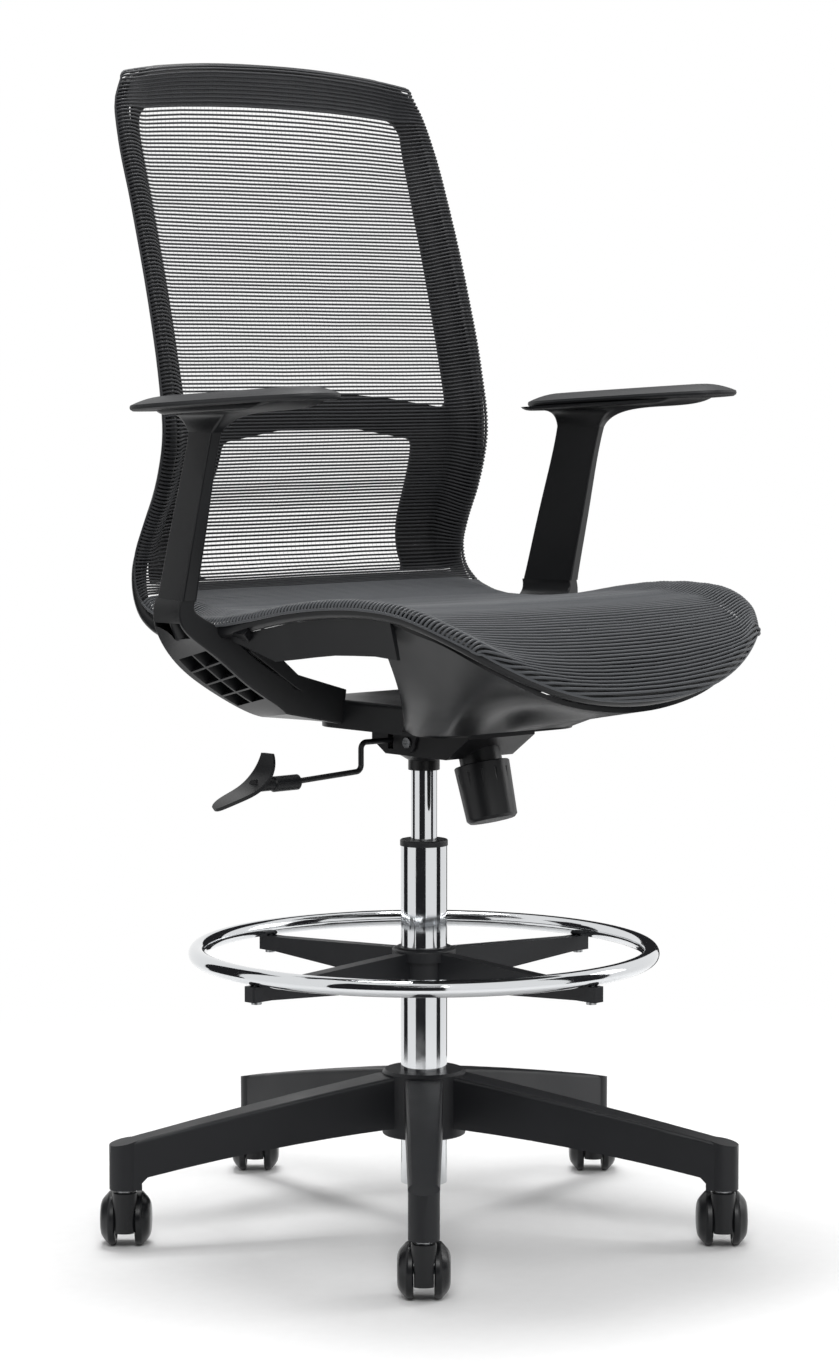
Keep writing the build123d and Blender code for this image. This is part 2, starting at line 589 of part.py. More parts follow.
def make_mechanism():
    """Pressed housing on the gas lift, with the pivot pin and the lift socket."""
    side = Plane.YZ
    inner = HOUSING_HALF - HOUSING_WALL
    tub = extrude(side * housing_outline(), HOUSING_HALF, both=True)
    tub = tub - extrude(side * housing_outline(HOUSING_WALL), inner, both=True)
    tub = tub - cyl(CYLINDER_R + RUN, HOUSING_BOTTOM - 5, HOUSING_BOTTOM + 30)
    pin_bore = rod((-99, PIVOT_Y, PIVOT_Z), (99, PIVOT_Y, PIVOT_Z), PIVOT_R)
    slot_x = -HOUSING_HALF - 1
    slot = box(slot_x, -inner + 1, -LEVER_R - 1.2, LEVER_R + 1.2, LEVER_Z - 9, LEVER_Z + 9)
    tub = tub - pin_bore - slot - along_knob(BOLT_R + 0.4, -40, 60)
    parts["mechanism_housing"] = tub

    cone_low = SOCKET_BOTTOM + SOCKET_RING_H
    cone = Pos(0, 0, (cone_low + HOUSING_BOTTOM) / 2) * Cone(
        SOCKET_RING_R, CONE_R, HOUSING_BOTTOM - cone_low)
    parts["lift_socket"] = cone - cyl(CYLINDER_R + RUN, cone_low - 1, HOUSING_BOTTOM + 1)
    parts["socket_ring"] = tube(SOCKET_RING_R, CYLINDER_R, SOCKET_BOTTOM, cone_low)

    pin_half = HOUSING_HALF + LUG_GAP + LUG_W + 0.5
    pin = rod((-pin_half, PIVOT_Y, PIVOT_Z), (pin_half, PIVOT_Y, PIVOT_Z), PIVOT_R)
    for sign in (1, -1):
        head = rod((sign * pin_half, PIVOT_Y, PIVOT_Z), (sign * (pin_half + 2), PIVOT_Y, PIVOT_Z), PIVOT_R + 1.8)
        pin = pin + head
    parts["pivot_pin"] = pin


def make_tension():
    """Spring sleeve, coil spring, thrust plate, bolt and knob on the leaning axis."""
    housing = extrude(Plane.YZ * housing_outline(), HOUSING_HALF, both=True)
    sleeve = along_knob(SLEEVE_R, 0, SLEEVE_END) - along_knob(SLEEVE_R - SLEEVE_WALL, SLEEVE_START, SLEEVE_END + 1)
    sleeve = (sleeve - housing).solids().sort_by(SortBy.VOLUME)[-1]
    parts["spring_sleeve"] = sleeve - along_knob(BOLT_R + 0.6, 0, SLEEVE_END)

    plate_start = SLEEVE_END - THRUST_TRAVEL - THRUST_T - 1
    coil_start = SLEEVE_START + SEAT_GAP
    height = plate_start - SEAT_GAP - coil_start - 2 * SPRING_WIRE_R
    path = Helix(height / (SPRING_TURNS - 0.01), height, SPRING_R)
    section = Plane(origin=path @ 0, z_dir=path % 0) * Circle(SPRING_WIRE_R)
    coil = sweep(section, path, is_frenet=True)
    parts["tension_spring"] = knob_axis() * (Pos(0, 0, coil_start + SPRING_WIRE_R) * coil)

    plate = along_knob(THRUST_R, plate_start, plate_start + THRUST_T)
    parts["thrust_plate"] = plate - along_knob(BOLT_R + RUN, plate_start - 5, plate_start + 20)

    bore = SLEEVE_R + KNOB_BORE_GAP
    profile = make_face(Polyline(
        (0, KNOB_FLOOR), (bore, KNOB_FLOOR), (bore, KNOB_START), (KNOB_R_TOP - 1, KNOB_START),
        (KNOB_R_TOP, KNOB_START + 1), (KNOB_R_END, KNOB_END - 3), (KNOB_R_END - 3, KNOB_END),
        (0, KNOB_END), close=True))
    knob = revolve(Plane.XZ * profile, Axis.Z)
    groove = Pos(KNOB_R_TOP + 0.6, 0, KNOB_START + 8) * Cylinder(
        1.6, 80, align=(Align.CENTER, Align.CENTER, Align.MIN))
    for i in range(KNOB_FLUTES):
        knob = knob - Rot(0, 0, (i + 0.5) * 360 / KNOB_FLUTES) * groove
    bolt_end = KNOB_END - 12
    parts["tension_knob"] = knob_axis() * knob - along_knob(BOLT_R, KNOB_FLOOR - 1, bolt_end)
    parts["tension_bolt"] = along_knob(BOLT_R, BOLT_INNER, bolt_end)


def lever_rod():
    """Bent lift lever: level through the housing, down, then out to the grip."""
    points = [
        (LEVER_TIP_X, 0, LEVER_Z), (LEVER_DROP_X, 0, LEVER_Z + 0.6), (LEVER_DROP_X, 0, LEVER_LOW_Z),
        (GRIP_END_X + 8, 0, LEVER_END_Z),
    ]
    path = FilletPolyline(*points, radius=LEVER_BEND_R)
    section = Plane(origin=path @ 0, z_dir=path % 0) * Circle(LEVER_R)
    return sweep(section, path)


def paddle_solid():
    """Leaf paddle: a curved blade, upright at its top and laid outwards at its foot."""
    spine = Spline((-217, 532), (-224, 512), (-238, 499), (-262, 489), (-288, 478.5))
    band = offset_band(spine, PADDLE_T / 2, PADDLE_T / 2)
    blade = extrude(Plane.XZ * band, PADDLE_W, both=True)
    # The leaf outline is cut square to the line from its top to its foot.
    chord = Plane(origin=(-250, 0, 506), x_dir=(-0.795, 0, -0.606), z_dir=(-0.606, 0, 0.795))
    leaf = chord * superellipse(PADDLE_W, 94, 2.2)
    cutter = extrude(leaf, 60, both=True)
    return blade & cutter


def offset_band(spine, above, below):
    """Flat band that reaches to both sides of a curve, drawn on XY."""
    count = 14
    high, low = [], []
    for i in range(count + 1):
        p, t = spine @ (i / count), spine % (i / count)
        high.append((p.X - t.Y * above, p.Y + t.X * above))
        low.append((p.X + t.Y * below, p.Y - t.X * below))
    ends = Line(high[0], low[0]) + Line(high[-1], low[-1])
    return make_face(Spline(*high) + Spline(*low) + ends)


def make_lever():
    """Lever rod in its sliding block, with the cross pin, grip and paddle."""
    x0, x1 = LEVER_PIVOT_X - BLOCK_X / 2, LEVER_PIVOT_X + BLOCK_X / 2
    floor = HOUSING_BOTTOM + HOUSING_WALL + SEAT_GAP
    block = box(x0, x1, -BLOCK_Y / 2, BLOCK_Y / 2, floor, BLOCK_TOP)
    slot = LEVER_R + SEAT_GAP
    block = block - box(x0 - 1, x1 + 1, -slot, slot, LEVER_Z - 2 * slot, BLOCK_TOP + 1)
    start, end = (LEVER_PIVOT_X, -BLOCK_Y / 2, LEVER_Z), (LEVER_PIVOT_X, BLOCK_Y / 2, LEVER_Z)
    parts["lever_block"] = block - rod(start, end, CROSS_PIN_R)
    parts["lever_cross_pin"] = rod(start, end, CROSS_PIN_R)
    parts["lever_rod"] = lever_rod() - rod(start, end, CROSS_PIN_R + RUN)
    profile = make_face(Polyline(
        (GRIP_START_X, 0), (GRIP_START_X, GRIP_R - 1.5), (GRIP_START_X - 1.5, GRIP_R), (GRIP_END_X + 1.5, GRIP_R),
        (GRIP_END_X, GRIP_R - 1.5), (GRIP_END_X, NECK_R), (PADDLE_NECK_X, NECK_R), (PADDLE_NECK_X, 0), close=True))
    grip = Pos(0, 0, LEVER_END_Z + 0.6) * revolve(Plane.XZ * profile, Axis.X)
    handle = grip + paddle_solid()
    parts["lever_handle"] = handle - lever_rod()


# ================================================================ seat shell
def rail_bar(radius):
    """Closed round bar along the shell's rail."""
    points = RAIL + [(-x, y, z) for x, y, z in reversed(RAIL) if x > 0]
    radii = bend_radii(points, 0.46, closed=True)
    path = FilletPolyline(*points, radius=radii, close=True)
    section = Plane(origin=path @ 0, z_dir=path % 0) * Circle(radius)
    return sweep(section, path)


def profile_normals(rows):
    """Unit vectors in the side plane that point from each row to the sitter."""
    normals = []
    last = len(rows) - 1
    for i in range(len(rows)):
        a, b = rows[max(i - 1, 0)], rows[min(i + 1, last)]
        dy, dz = b[1] - a[1], b[2] - a[2]
        size = sqrt(dy * dy + dz * dz)
        normals.append((dz / size, -dy / size))
    return normals


def across(half, inset):
    """Places across a row, close together where the mesh dips inside the rail."""
    near = [inset + i * LIP_WIDTH / 5 for i in range(7)]
    left = half - near[-1]
    places = [half - d for d in near] + [left * i / 4 for i in (3, 2, 1)]
    return [-x for x in places] + [0] + places[::-1]


def mesh_grid(rows, back=0.0, inset=MESH_EDGE):
    """Grid of points on rows of the mesh, set back from it and in from its edges."""
    normals = profile_normals(rows)
    grid = []
    for (half, y, z, bow_y, bow_z, dish), (ny, nz) in zip(rows, normals):
        row = []
        for x in across(half, inset):
            y_bow = bow_y * (1 - (abs(x) / half) ** BOW_POWER_Y)
            z_bow = bow_z * (1 - (abs(x) / half) ** BOW_POWER_Z)
            lift = RAIL_R + MESH_GAP + MESH_T - back - dish * smooth((half - abs(x)) / LIP_WIDTH)
            row.append((x, y + y_bow + ny * lift, z + z_bow + nz * lift))
        grid.append(row)
    return grid


def window_prism(points, corner):
    """Tall rounded prism along Y that cuts a window in the back's border."""
    outline = FilletPolyline(*points, radius=corner, close=True)
    return extrude(Plane.XZ * make_face(outline), 400, both=True)


def back_windows():
    """The two windows above and below the lumbar bar."""
    side_z = BAR_TOP - BAR_DROP - 6
    upper = [
        (-WINDOW_HALF, side_z), (-WINDOW_HALF, WINDOW_TOP - 16), (-100, WINDOW_TOP - 3), (0, WINDOW_TOP),
        (100, WINDOW_TOP - 3), (WINDOW_HALF, WINDOW_TOP - 16), (WINDOW_HALF, side_z),
        (100, BAR_TOP - 8), (0, BAR_TOP), (-100, BAR_TOP - 8),
    ]
    side_low = BAR_BOTTOM - BAR_DROP
    lower = [
        (-LOWER_HALF_TOP, side_low), (-60, BAR_BOTTOM - 2), (60, BAR_BOTTOM - 2), (LOWER_HALF_TOP, side_low),
        (LOWER_HALF_END, LOWER_END), (-LOWER_HALF_END, LOWER_END),
    ]
    corners = [8, WINDOW_CORNER_R, 60, 60, 60, WINDOW_CORNER_R, 8, 60, 60, 60]
    return window_prism(upper, corners), window_prism(lower, [10, 60, 60, 10, 12, 12])


def make_shell():
    """Rail, the border behind the mesh, and the mesh of the back and of the seat."""
    parts["shell_rail"] = rail_bar(RAIL_R)
    to_rear, to_floor = Vector(0, 0.99, -0.14), Vector(0, 0.45, -0.893)
    rows = BORDER_TOP_ROWS + MESH_ROWS[2:BORDER_ROW + 1]
    border = mesh_grid(rows, back=MESH_T + BORDER_GAP, inset=RAIL_R + BORDER_EDGE)
    border = thick_sheet(border, to_rear, BORDER_T)
    for prism in back_windows():
        border = border - prism
    parts["back_border"] = border
    parts["back_mesh"] = thick_sheet(mesh_grid(MESH_ROWS[:CREASE_ROW + 1]), to_rear, MESH_T)
    parts["seat_mesh"] = thick_sheet(mesh_grid(MESH_ROWS[CREASE_ROW:]), to_floor, MESH_T)


# ================================================================ arms
def post_section(y, z, depth, thickness, share=EDGE_SHARE, toe=POST_TOE, tilt=0.0):
    """Rounded section across the post: its depth runs forward, and up by the tilt."""
    toe, tilt = radians(toe), radians(tilt)
    forward = (sin(toe) * cos(tilt), -cos(toe) * cos(tilt), sin(tilt))
    down = (sin(toe) * sin(tilt), -cos(toe) * sin(tilt), -cos(tilt))
    plane = Plane(origin=(POST_X, y, z), x_dir=forward, z_dir=down)
    return plane * RectangleRounded(depth, thickness, thickness * share)


def beam_plane(inwards, z, fall):
    """Plane across the beam: X forward along its depth, Z on along it, Y to its upper side."""
    toe, fall = radians(POST_TOE), radians(fall)
    origin = (POST_X - inwards * cos(toe), BEAM_MIDDLE_Y - inwards * sin(toe), z)
    onward = (-cos(fall) * cos(toe), -cos(fall) * sin(toe), -sin(fall))
    return Plane(origin=origin, x_dir=(sin(toe), -cos(toe), 0), z_dir=onward)


def beam_section(inwards, z, fall, depth, front, rear):
    """Section of the beam: flat above, deeper at its rear edge."""
    back = BEAM_FRONT - depth
    outline = make_face(Polyline(
        (BEAM_FRONT, 0), (back, 0), (back, -rear), (BEAM_FRONT, -front), close=True))
    return beam_plane(inwards, z, fall) * fillet(outline.vertices(), BEAM_EDGE_R)


def cross_section(inwards, z, fall, front, width, thickness):
    """Section of the cross arm that lies on the beam."""
    outline = make_face(Polyline(
        (front, SEAT_GAP), (front - width, SEAT_GAP), (front - width, SEAT_GAP + thickness),
        (front, SEAT_GAP + thickness), close=True))
    return beam_plane(inwards, z, fall) * fillet(outline.vertices(), CROSS_EDGE_R)


def arm_solid():
    """Post, flared head and the ribbed beam that reaches under the seat."""
    post = loft([post_section(y, z, depth, width) for z, y, depth, width in POST_SECTIONS])
    z, y, depth, width = POST_SECTIONS[-1]
    head = [post_section(y, z, depth, width)]
    head += [post_section(y, z, d, w, FLARE_EDGE_SHARE, POST_TOE / 2, tilt) for z, y, d, w, tilt in FLARE_SECTIONS]
    solid = post + loft(head) + loft([beam_section(*section) for section in BEAM_SECTIONS])

    inwards, z, fall = BEAM_SECTIONS[CELL_SECTION][:3]
    middle = beam_plane(inwards, z, fall)
    pitch = (CELL_END - CELL_START) / BEAM_CELLS
    width = (BEAM_SECTIONS[-1][3] - BEAM_RIB) / 2 - BEAM_WALL
    for i in range(BEAM_CELLS):
        for side in (0, 1):
            place = (BEAM_FRONT - BEAM_WALL - side * (width + BEAM_RIB), -BEAM_ROOF, CELL_START + (i + 0.5) * pitch)
            cell = Box(width, CELL_REACH, pitch - BEAM_RIB, align=(Align.MAX, Align.MAX, Align.CENTER))
            solid = solid - middle * Pos(*place) * cell

    inwards, z, fall, depth, _, rear = BEAM_SECTIONS[CUP_SECTION]
    cup_plane = beam_plane(inwards, z, fall)
    pocket = Box(depth - 2 * BEAM_WALL, CUP_DEPTH, CUP_LENGTH, align=(Align.CENTER, Align.MAX, Align.MIN))
    place = Pos(BEAM_FRONT - depth / 2, CUP_DEPTH - rear, CUP_ALONG)
    cone = Cone(CUP_END_R, CUP_R, CUP_LENGTH + 2, align=(Align.CENTER, Align.CENTER, Align.MIN))
    solid = solid - cup_plane * (place * pocket)
    solid = solid + cup_plane * (Pos(BEAM_FRONT - depth / 2, CUP_R - rear, CUP_ALONG - 1) * cone)
    for side in (-1, 1):
        solid = solid - arm_bolt(side)
    return solid - rail_bar(RAIL_R + SEAT_GAP)


def arm_bolt(side):
    """One bolt along the beam, from its last cell into the carrier."""
    first, last = BEAM_SECTIONS[CELL_SECTION], BEAM_SECTIONS[-1]
    start = CELL_END - sqrt((last[0] - first[0]) ** 2 + (last[1] - first[1]) ** 2)
    middle = BEAM_FRONT - last[3] / 2
    place = beam_plane(*last[:3]) * Pos(middle + side * ARM_BOLT_SPREAD, -ARM_BOLT_DEPTH, 0)
    low = (Align.CENTER, Align.CENTER, Align.MIN)
    shank = Pos(0, 0, start - 2) * Cylinder(ARM_BOLT_R, ARM_BOLT_REACH - start + 2, align=low)
    head = Pos(0, 0, start - 6) * Cylinder(ARM_BOLT_HEAD_R, 5, align=low)
    return place * (shank + head)


def pad_solid():
    """Arm pad with a thin lip and a gently crowned top with a flat middle."""
    levels = [(0, 0.93), (1.6, 0.985), (PAD_LIP * 0.6, 1.0)]
    for i in range(PAD_STEPS + 1):
        t = i / PAD_STEPS
        levels.append((PAD_LIP + PAD_CROWN * t * (2 - t), 0.985 - (0.985 - PAD_FLAT) * t))
    layers = []
    for z, scale in levels:
        length = PAD_LENGTH - (1 - scale) * PAD_WIDTH
        layers.append(Pos(0, 0, z) * superellipse(length, PAD_WIDTH * scale, 2.9))
    pad = loft(layers, ruled=True)
    return Pos(POST_X + PAD_OUT, PAD_Y, PAD_BOTTOM + SEAT_GAP) * Rot(-PAD_TILT, 0, 0) * pad


def make_arms():
    """Both arms and pads."""
    arm, pad = arm_solid(), pad_solid()
    parts["arm_left"] = arm
    parts["arm_right"] = mirrored(arm)
    bolts = [arm_bolt(side) for side in (-1, 1)]
    parts["arm_bolts"] = Compound(children=bolts + [mirrored(bolt) for bolt in bolts])
    parts["pad_left"] = pad
    parts["pad_right"] = mirrored(pad)


# ================================================================ carrier and front moulding
def rail_at(y):
    """Half width and height of the rail beside the seat at a place along Y."""
    side = [p for p in RAIL if p[0] > 200 and p[2] < 700 and p[1] < 160]
    for (xa, ya, za), (xb, yb, zb) in zip(side, side[1:]):
        if yb <= y <= ya:
            t = (ya - y) / (ya - yb)
            return xa + (xb - xa) * t, za + (zb - za) * t
    raise ValueError("no rail beside the seat here")


def panel_section(y, room=0.0):
    """Section of the side panel, just under the rail, with room all round it."""
    x, z = rail_at(y)
    height = min(PANEL_H, PANEL_END_H + (PANEL_REAR_Y - y) * PANEL_SLOPE)
    top, low = z - RAIL_R - SEAT_GAP + room, z - RAIL_R - height - room
    outer_top, outer_low = x - 1 + room, x - 1 - PANEL_LEAN * height / PANEL_H + room
    inset = PANEL_T + 2 * room
    outline = [
        (outer_top, top), (outer_low, low), (outer_low - inset, low),
        (outer_top - inset - PANEL_LIP_IN, top + PANEL_LIP_UP),
    ]
    return Pos(0, y, 0) * (Plane.XZ * make_face(Polyline(*outline, close=True)))


def side_panel(room=0.0):
    """Side panel from the cross arm to the front moulding."""
    step = (PANEL_REAR_Y - PANEL_SEAM_Y) / (PANEL_STATIONS - 1)
    places = [PANEL_REAR_Y - i * step for i in range(PANEL_STATIONS)]
    places[-1] -= room
    return loft([panel_section(y, room) for y in places], ruled=True)


def tray_prism(inset, z0, z1):
    """Rounded block of the tray's plan."""
    length = TRAY_REAR_Y - TRAY_FRONT_Y - 2 * inset
    plan = RectangleRounded(2 * (TRAY_HALF - inset), length, TRAY_CORNER_R - inset)
    return extrude(Pos(0, (TRAY_REAR_Y + TRAY_FRONT_Y) / 2, z0) * plan, z1 - z0)


def shell_screw(y):
    """Screw from the inner face of the side panel up into the rail."""
    x, z = rail_at(y)
    inner, outer = Vector(x - 9.5, y, z - 10.8), Vector(x - 2, y, z - 2.3)
    step = (outer - inner).normalized() * 2.5
    head_start = inner - step
    shank = rod(tuple(inner), tuple(outer), SHELL_SCREW_R)
    return shank + rod(tuple(head_start), tuple(inner), SHELL_SCREW_R + 1.6)


def make_carrier():
    """Tray, cross arms and side panels in one moulding, and the steel plate bolted under it."""
    roof = PLATE_Z + PLATE_T
    tray = tray_prism(0, TRAY_BOTTOM, TRAY_TOP)
    tray = fillet(tray.faces().sort_by(Axis.Z)[-1].edges(), 5)
    tray = tray - tray_prism(TRAY_WALL, TRAY_BOTTOM - 1, roof)

    cross_arm = loft([cross_section(*section) for section in CROSS_SECTIONS], ruled=True)
    cross_arm = cross_arm - parts["arm_left"] - rail_bar(RAIL_R + SEAT_GAP)
    root = loft([beam_section(*section) for section in (BEAM_SECTIONS[-1], BEAM_ROOT)])
    side = cross_arm + root - tray_prism(TRAY_WALL, TRAY_BOTTOM - 9, roof)
    for bolt in (arm_bolt(-1), arm_bolt(1)):
        side = side - bolt
    panel = side_panel()
    screws = [shell_screw(y) for y in SHELL_SCREW_Y]
    for screw in screws:
        panel = panel - screw
    side = side + panel
    carrier = tray + side + mirrored(side)

    bolt = cyl(PLATE_BOLT_R, PLATE_Z - 1, TRAY_TOP - 1.5) + cyl(PLATE_BOLT_R + 2.5, PLATE_Z - 4, PLATE_Z)
    places = [(x, y) for x in (-PLATE_BOLT_X, PLATE_BOLT_X) for y in PLATE_BOLT_Y]
    bolts = [Pos(x, y, 0) * bolt for x, y in places]
    plate = Pos(0, (PLATE_FRONT_Y + PLATE_REAR_Y) / 2, PLATE_Z) * extrude(
        RectangleRounded(2 * PLATE_HALF, PLATE_REAR_Y - PLATE_FRONT_Y, 12), PLATE_T)
    ear = make_face(Polyline((PIVOT_Y - 26, PLATE_Z + 1), (PIVOT_Y - LUG_R, PIVOT_Z), (PIVOT_Y + LUG_R, PIVOT_Z),
                             (PIVOT_Y + 26, PLATE_Z + 1), close=True))
    ear = extrude(Plane.YZ * (ear + Pos(PIVOT_Y, PIVOT_Z) * Circle(LUG_R)), LUG_W)
    ear = Pos(HOUSING_HALF + LUG_GAP, 0, 0) * ear
    plate = plate + ear + mirrored(ear)
    plate = plate - rod((-99, PIVOT_Y, PIVOT_Z), (99, PIVOT_Y, PIVOT_Z), PIVOT_R + RUN)
    for one in bolts:
        carrier = carrier - one
        plate = plate - one
    parts["seat_carrier"] = carrier
    parts["tilt_plate"] = plate
    parts["plate_bolts"] = Compound(children=bolts)
    for screw in screws:
        parts["shell_rail"] = parts["shell_rail"] - screw - mirrored(screw)
    parts["shell_screws"] = Compound(children=screws + [mirrored(screw) for screw in screws])


def make_shroud():
    """Bowl-shaped front moulding between the rail and the tray's front."""
    heads = RAIL[len(RAIL) - len(SHROUD_FOOT):]
    columns = []
    for head, foot, swell in zip(heads, SHROUD_FOOT, SHROUD_SWELL):
        top = Vector(head[0] * SHROUD_SHARE_X, head[1] * SHROUD_SHARE_Y, head[2] - RAIL_R - SHROUD_GAP)
        low = Vector(*foot)
        middle = (top + low) * 0.5 + Vector(*swell)
        column = []
        for k in range(7):
            v = k / 6
            column.append(top * (1 - v) ** 2 + middle * (2 * v * (1 - v)) + low * v ** 2)
        columns.append([(p.X, p.Y, p.Z) for p in column])
    other = [[(-x, y, z) for x, y, z in column] for column in reversed(columns[:-1])]
    skin = thick_sheet(columns + other, Vector(0, 0, -1), SHROUD_T)
    wall = [[(x * w, y, z) for w in (-1, 0, 1)] for x, y, z in columns[0][SHROUD_WALL_TOP:]]
    skin = skin + thick_sheet(wall, Vector(0, -1, 0), SHROUD_WALL_T)
    skin = skin - tray_prism(-SEAT_GAP, TRAY_BOTTOM - 9, TRAY_TOP + 9)
    skin = skin - rail_bar(RAIL_R + SEAT_GAP)
    room = side_panel(PANEL_CLEARANCE)
    skin = skin - room - mirrored(room)
    parts["front_moulding"] = skin.solids().sort_by(SortBy.VOLUME)[-1]


# ================================================================ build and write
def write_parts():
    """One STEP file for each node."""
    os.makedirs("parts", exist_ok=True)
    for name, shape in parts.items():
        if isinstance(shape, (list, ShapeList)):
            shape = Compound(children=list(shape))
        export_step(shape, f"parts/{name}.step")


parts["star_base"] = star_base()
make_casters()
make_column()
make_foot_ring()
make_mechanism()
make_tension()
make_lever()
make_shell()
make_arms()
make_carrier()
make_shroud()
write_parts()
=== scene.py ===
"""Drafting chair with a knitted mesh back and seat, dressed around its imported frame.

Metres, in the frame's own axes: +Z is up, the sitter faces -Y, the floor is at Z 0.
"""

import math

import bmesh
import bpy
import numpy as np
from mathutils import Matrix, Vector, noise


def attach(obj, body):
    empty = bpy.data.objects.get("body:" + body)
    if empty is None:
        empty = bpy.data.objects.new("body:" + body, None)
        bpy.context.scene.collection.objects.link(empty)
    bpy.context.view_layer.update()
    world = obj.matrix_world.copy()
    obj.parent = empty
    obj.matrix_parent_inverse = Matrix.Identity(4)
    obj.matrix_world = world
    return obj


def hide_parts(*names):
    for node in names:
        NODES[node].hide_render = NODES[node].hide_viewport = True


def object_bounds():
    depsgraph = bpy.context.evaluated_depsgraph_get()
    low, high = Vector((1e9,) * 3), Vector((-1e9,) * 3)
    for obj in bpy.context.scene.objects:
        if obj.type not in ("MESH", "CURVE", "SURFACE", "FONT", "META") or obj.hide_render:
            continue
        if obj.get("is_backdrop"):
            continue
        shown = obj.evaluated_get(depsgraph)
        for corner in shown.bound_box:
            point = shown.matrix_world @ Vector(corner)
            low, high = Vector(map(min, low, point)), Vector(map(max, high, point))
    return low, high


bl_info = {
    "name": "Drafting chair dressing",
    "version": (1, 0, 0),
    "blender": (4, 5, 0),
    "location": "View3D > Sidebar > Chair",
    "description": "Knitted mesh, finishes and studio for the packed drafting chair",
    "category": "Object",
}

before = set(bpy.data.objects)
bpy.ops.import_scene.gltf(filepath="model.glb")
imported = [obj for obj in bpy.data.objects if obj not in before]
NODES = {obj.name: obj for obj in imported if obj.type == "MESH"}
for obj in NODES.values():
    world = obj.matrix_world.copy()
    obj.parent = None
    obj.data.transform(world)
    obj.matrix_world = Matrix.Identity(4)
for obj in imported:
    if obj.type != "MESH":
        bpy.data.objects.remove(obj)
CAD_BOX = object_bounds()

# ---------------------------------------------------------------- the shell's rows
# Rows of the mesh from the top of the back down and forward, in millimetres as the frame's
# maker gives them: half width, place along Y and height of the rail under the row's edge,
# how far the row's middle stands off along Y and Z, and how deep it is dished.
SHELL_ROWS = [
    (198, 256, 1238, 9, 15, 0), (208, 252, 1218, 7, 13, 6), (214, 242, 1188, 4, 8, 14),
    (218.5, 210, 1097, 2, 0, 20), (220, 184, 1012, 3, 0, 22), (221.5, 163, 927, 4, 0, 22),
    (222, 153.5, 855, 4, 0, 22), (222.5, 168, 800, 4, 0, 22), (224.5, 188, 760, 4, 0, 20),
    (227, 199, 728, 2, 0, 15), (230, 195, 700, 0, 0, 6), (234, 178, 680, 0, 0, -4),
    (237, 150, 668, 0, 0, -9), (238, 110, 660, 0, 0, -9), (237, 55, 661, 0, -2, -6),
    (236.5, 0, 669, 0, -4, -1), (236, -60, 680, 0, -5, 4), (235.5, -120, 687, 0, -5, 7),
    (234, -180, 689, 0, -5, 8), (229, -230, 684, -4, -7, 8), (216, -268, 670, -14, -22, 6),
    (196, -294, 654.6, -34, -54, -0.5),
]
CREASE_ROW = 11        # the back's mesh meets the seat's here
EVEN_ROW = 17          # forward of this row the ribs keep their spacing at the middle as well
RAIL_RADIUS = 0.008
LIP_WIDTH = 0.034      # the mesh falls back over this width inside the rail
BOW_POWER_Y = 3.4      # how squarely a row's middle stands off along Y and along Z
BOW_POWER_Z = 2.4
THREADS_HALF = 0.225   # the threads fill this much on either side of the middle
THREADS_FULL = 0.228   # half width of the shell that their spacing is measured on
THREAD_STEP = 0.010    # longest straight piece of a thread

# ---------------------------------------------------------------- the studio
FLOOR_HALF = 30
# Lamps: name, place, what it looks at, width, height and power in watts
LAMPS = [
    ("key_box", (-2.2, -2.4, 2.6), (0, 0, 0.7), 1.4, 1.0, 62),
    ("fill_box", (2.6, -1.6, 1.6), (0, 0, 0.7), 1.4, 1.4, 24),
    ("top_box", (0.2, 0.4, 3.2), (0, 0, 0.6), 1.2, 1.2, 75),
]
SURROUND_LIGHT = 0.5   # what the white surround adds to the light on matt surfaces
SURROUND_SEEN = 1.0    # and how bright the camera and mirrors see it
# Dark flags round the chair: where each stands and how wide it is, in degrees
FLAGS = {"flag_front": (-58, 50), "flag_side": (35, 24), "flag_rear": (125, 36), "flag_far": (-145, 30)}
FLAG_RADIUS = 1.0
FLAG_FOOT = 0.001
FLAG_TOP = 1.3


# ================================================================ sizes and colours
class KnitSizes(bpy.types.PropertyGroup):
    """Sizes of the knitted mesh."""

    rib_pitch: bpy.props.FloatProperty(
        name="Rib pitch", description="Distance from one rib to the next",
        default=0.0041, min=0.002, max=0.01, subtype="DISTANCE", unit="LENGTH")
    rib_radius: bpy.props.FloatProperty(
        name="Rib radius", description="Half the width of a rib",
        default=0.0012, min=0.0003, max=0.003, subtype="DISTANCE", unit="LENGTH")
    seat_share: bpy.props.FloatProperty(
        name="Seat's share", description="Pitch and width of the seat's ribs over those of the back",
        default=1.26, min=0.5, max=2)
    thread_spacing: bpy.props.FloatProperty(
        name="Thread spacing", description="Distance between the threads that join the ribs",
        default=0.006, min=0.002, max=0.02, subtype="DISTANCE", unit="LENGTH")
    thread_radius: bpy.props.FloatProperty(
        name="Thread radius", description="Half the width of a joining thread",
        default=0.00013, min=0.00005, max=0.001, subtype="DISTANCE", unit="LENGTH")
    rail_gap: bpy.props.FloatProperty(
        name="Gap to the rail", description="Room between the rail and a rib that passes over it",
        default=0.0003, min=0, max=0.002, subtype="DISTANCE", unit="LENGTH")
    wrap: bpy.props.FloatProperty(
        name="Wrap", description="How far round the rail the mesh is drawn",
        default=math.radians(82), min=0.5, max=3, subtype="ANGLE", unit="ROTATION")
    hem_radius: bpy.props.FloatProperty(
        name="Hem radius", description="Half the width of the cord along the mesh's edge",
        default=0.0014, min=0.0005, max=0.004, subtype="DISTANCE", unit="LENGTH")
    pull: bpy.props.FloatProperty(
        name="Pull", description="How far uneven tension moves a rib",
        default=0.0003, min=0, max=0.002, subtype="DISTANCE", unit="LENGTH")


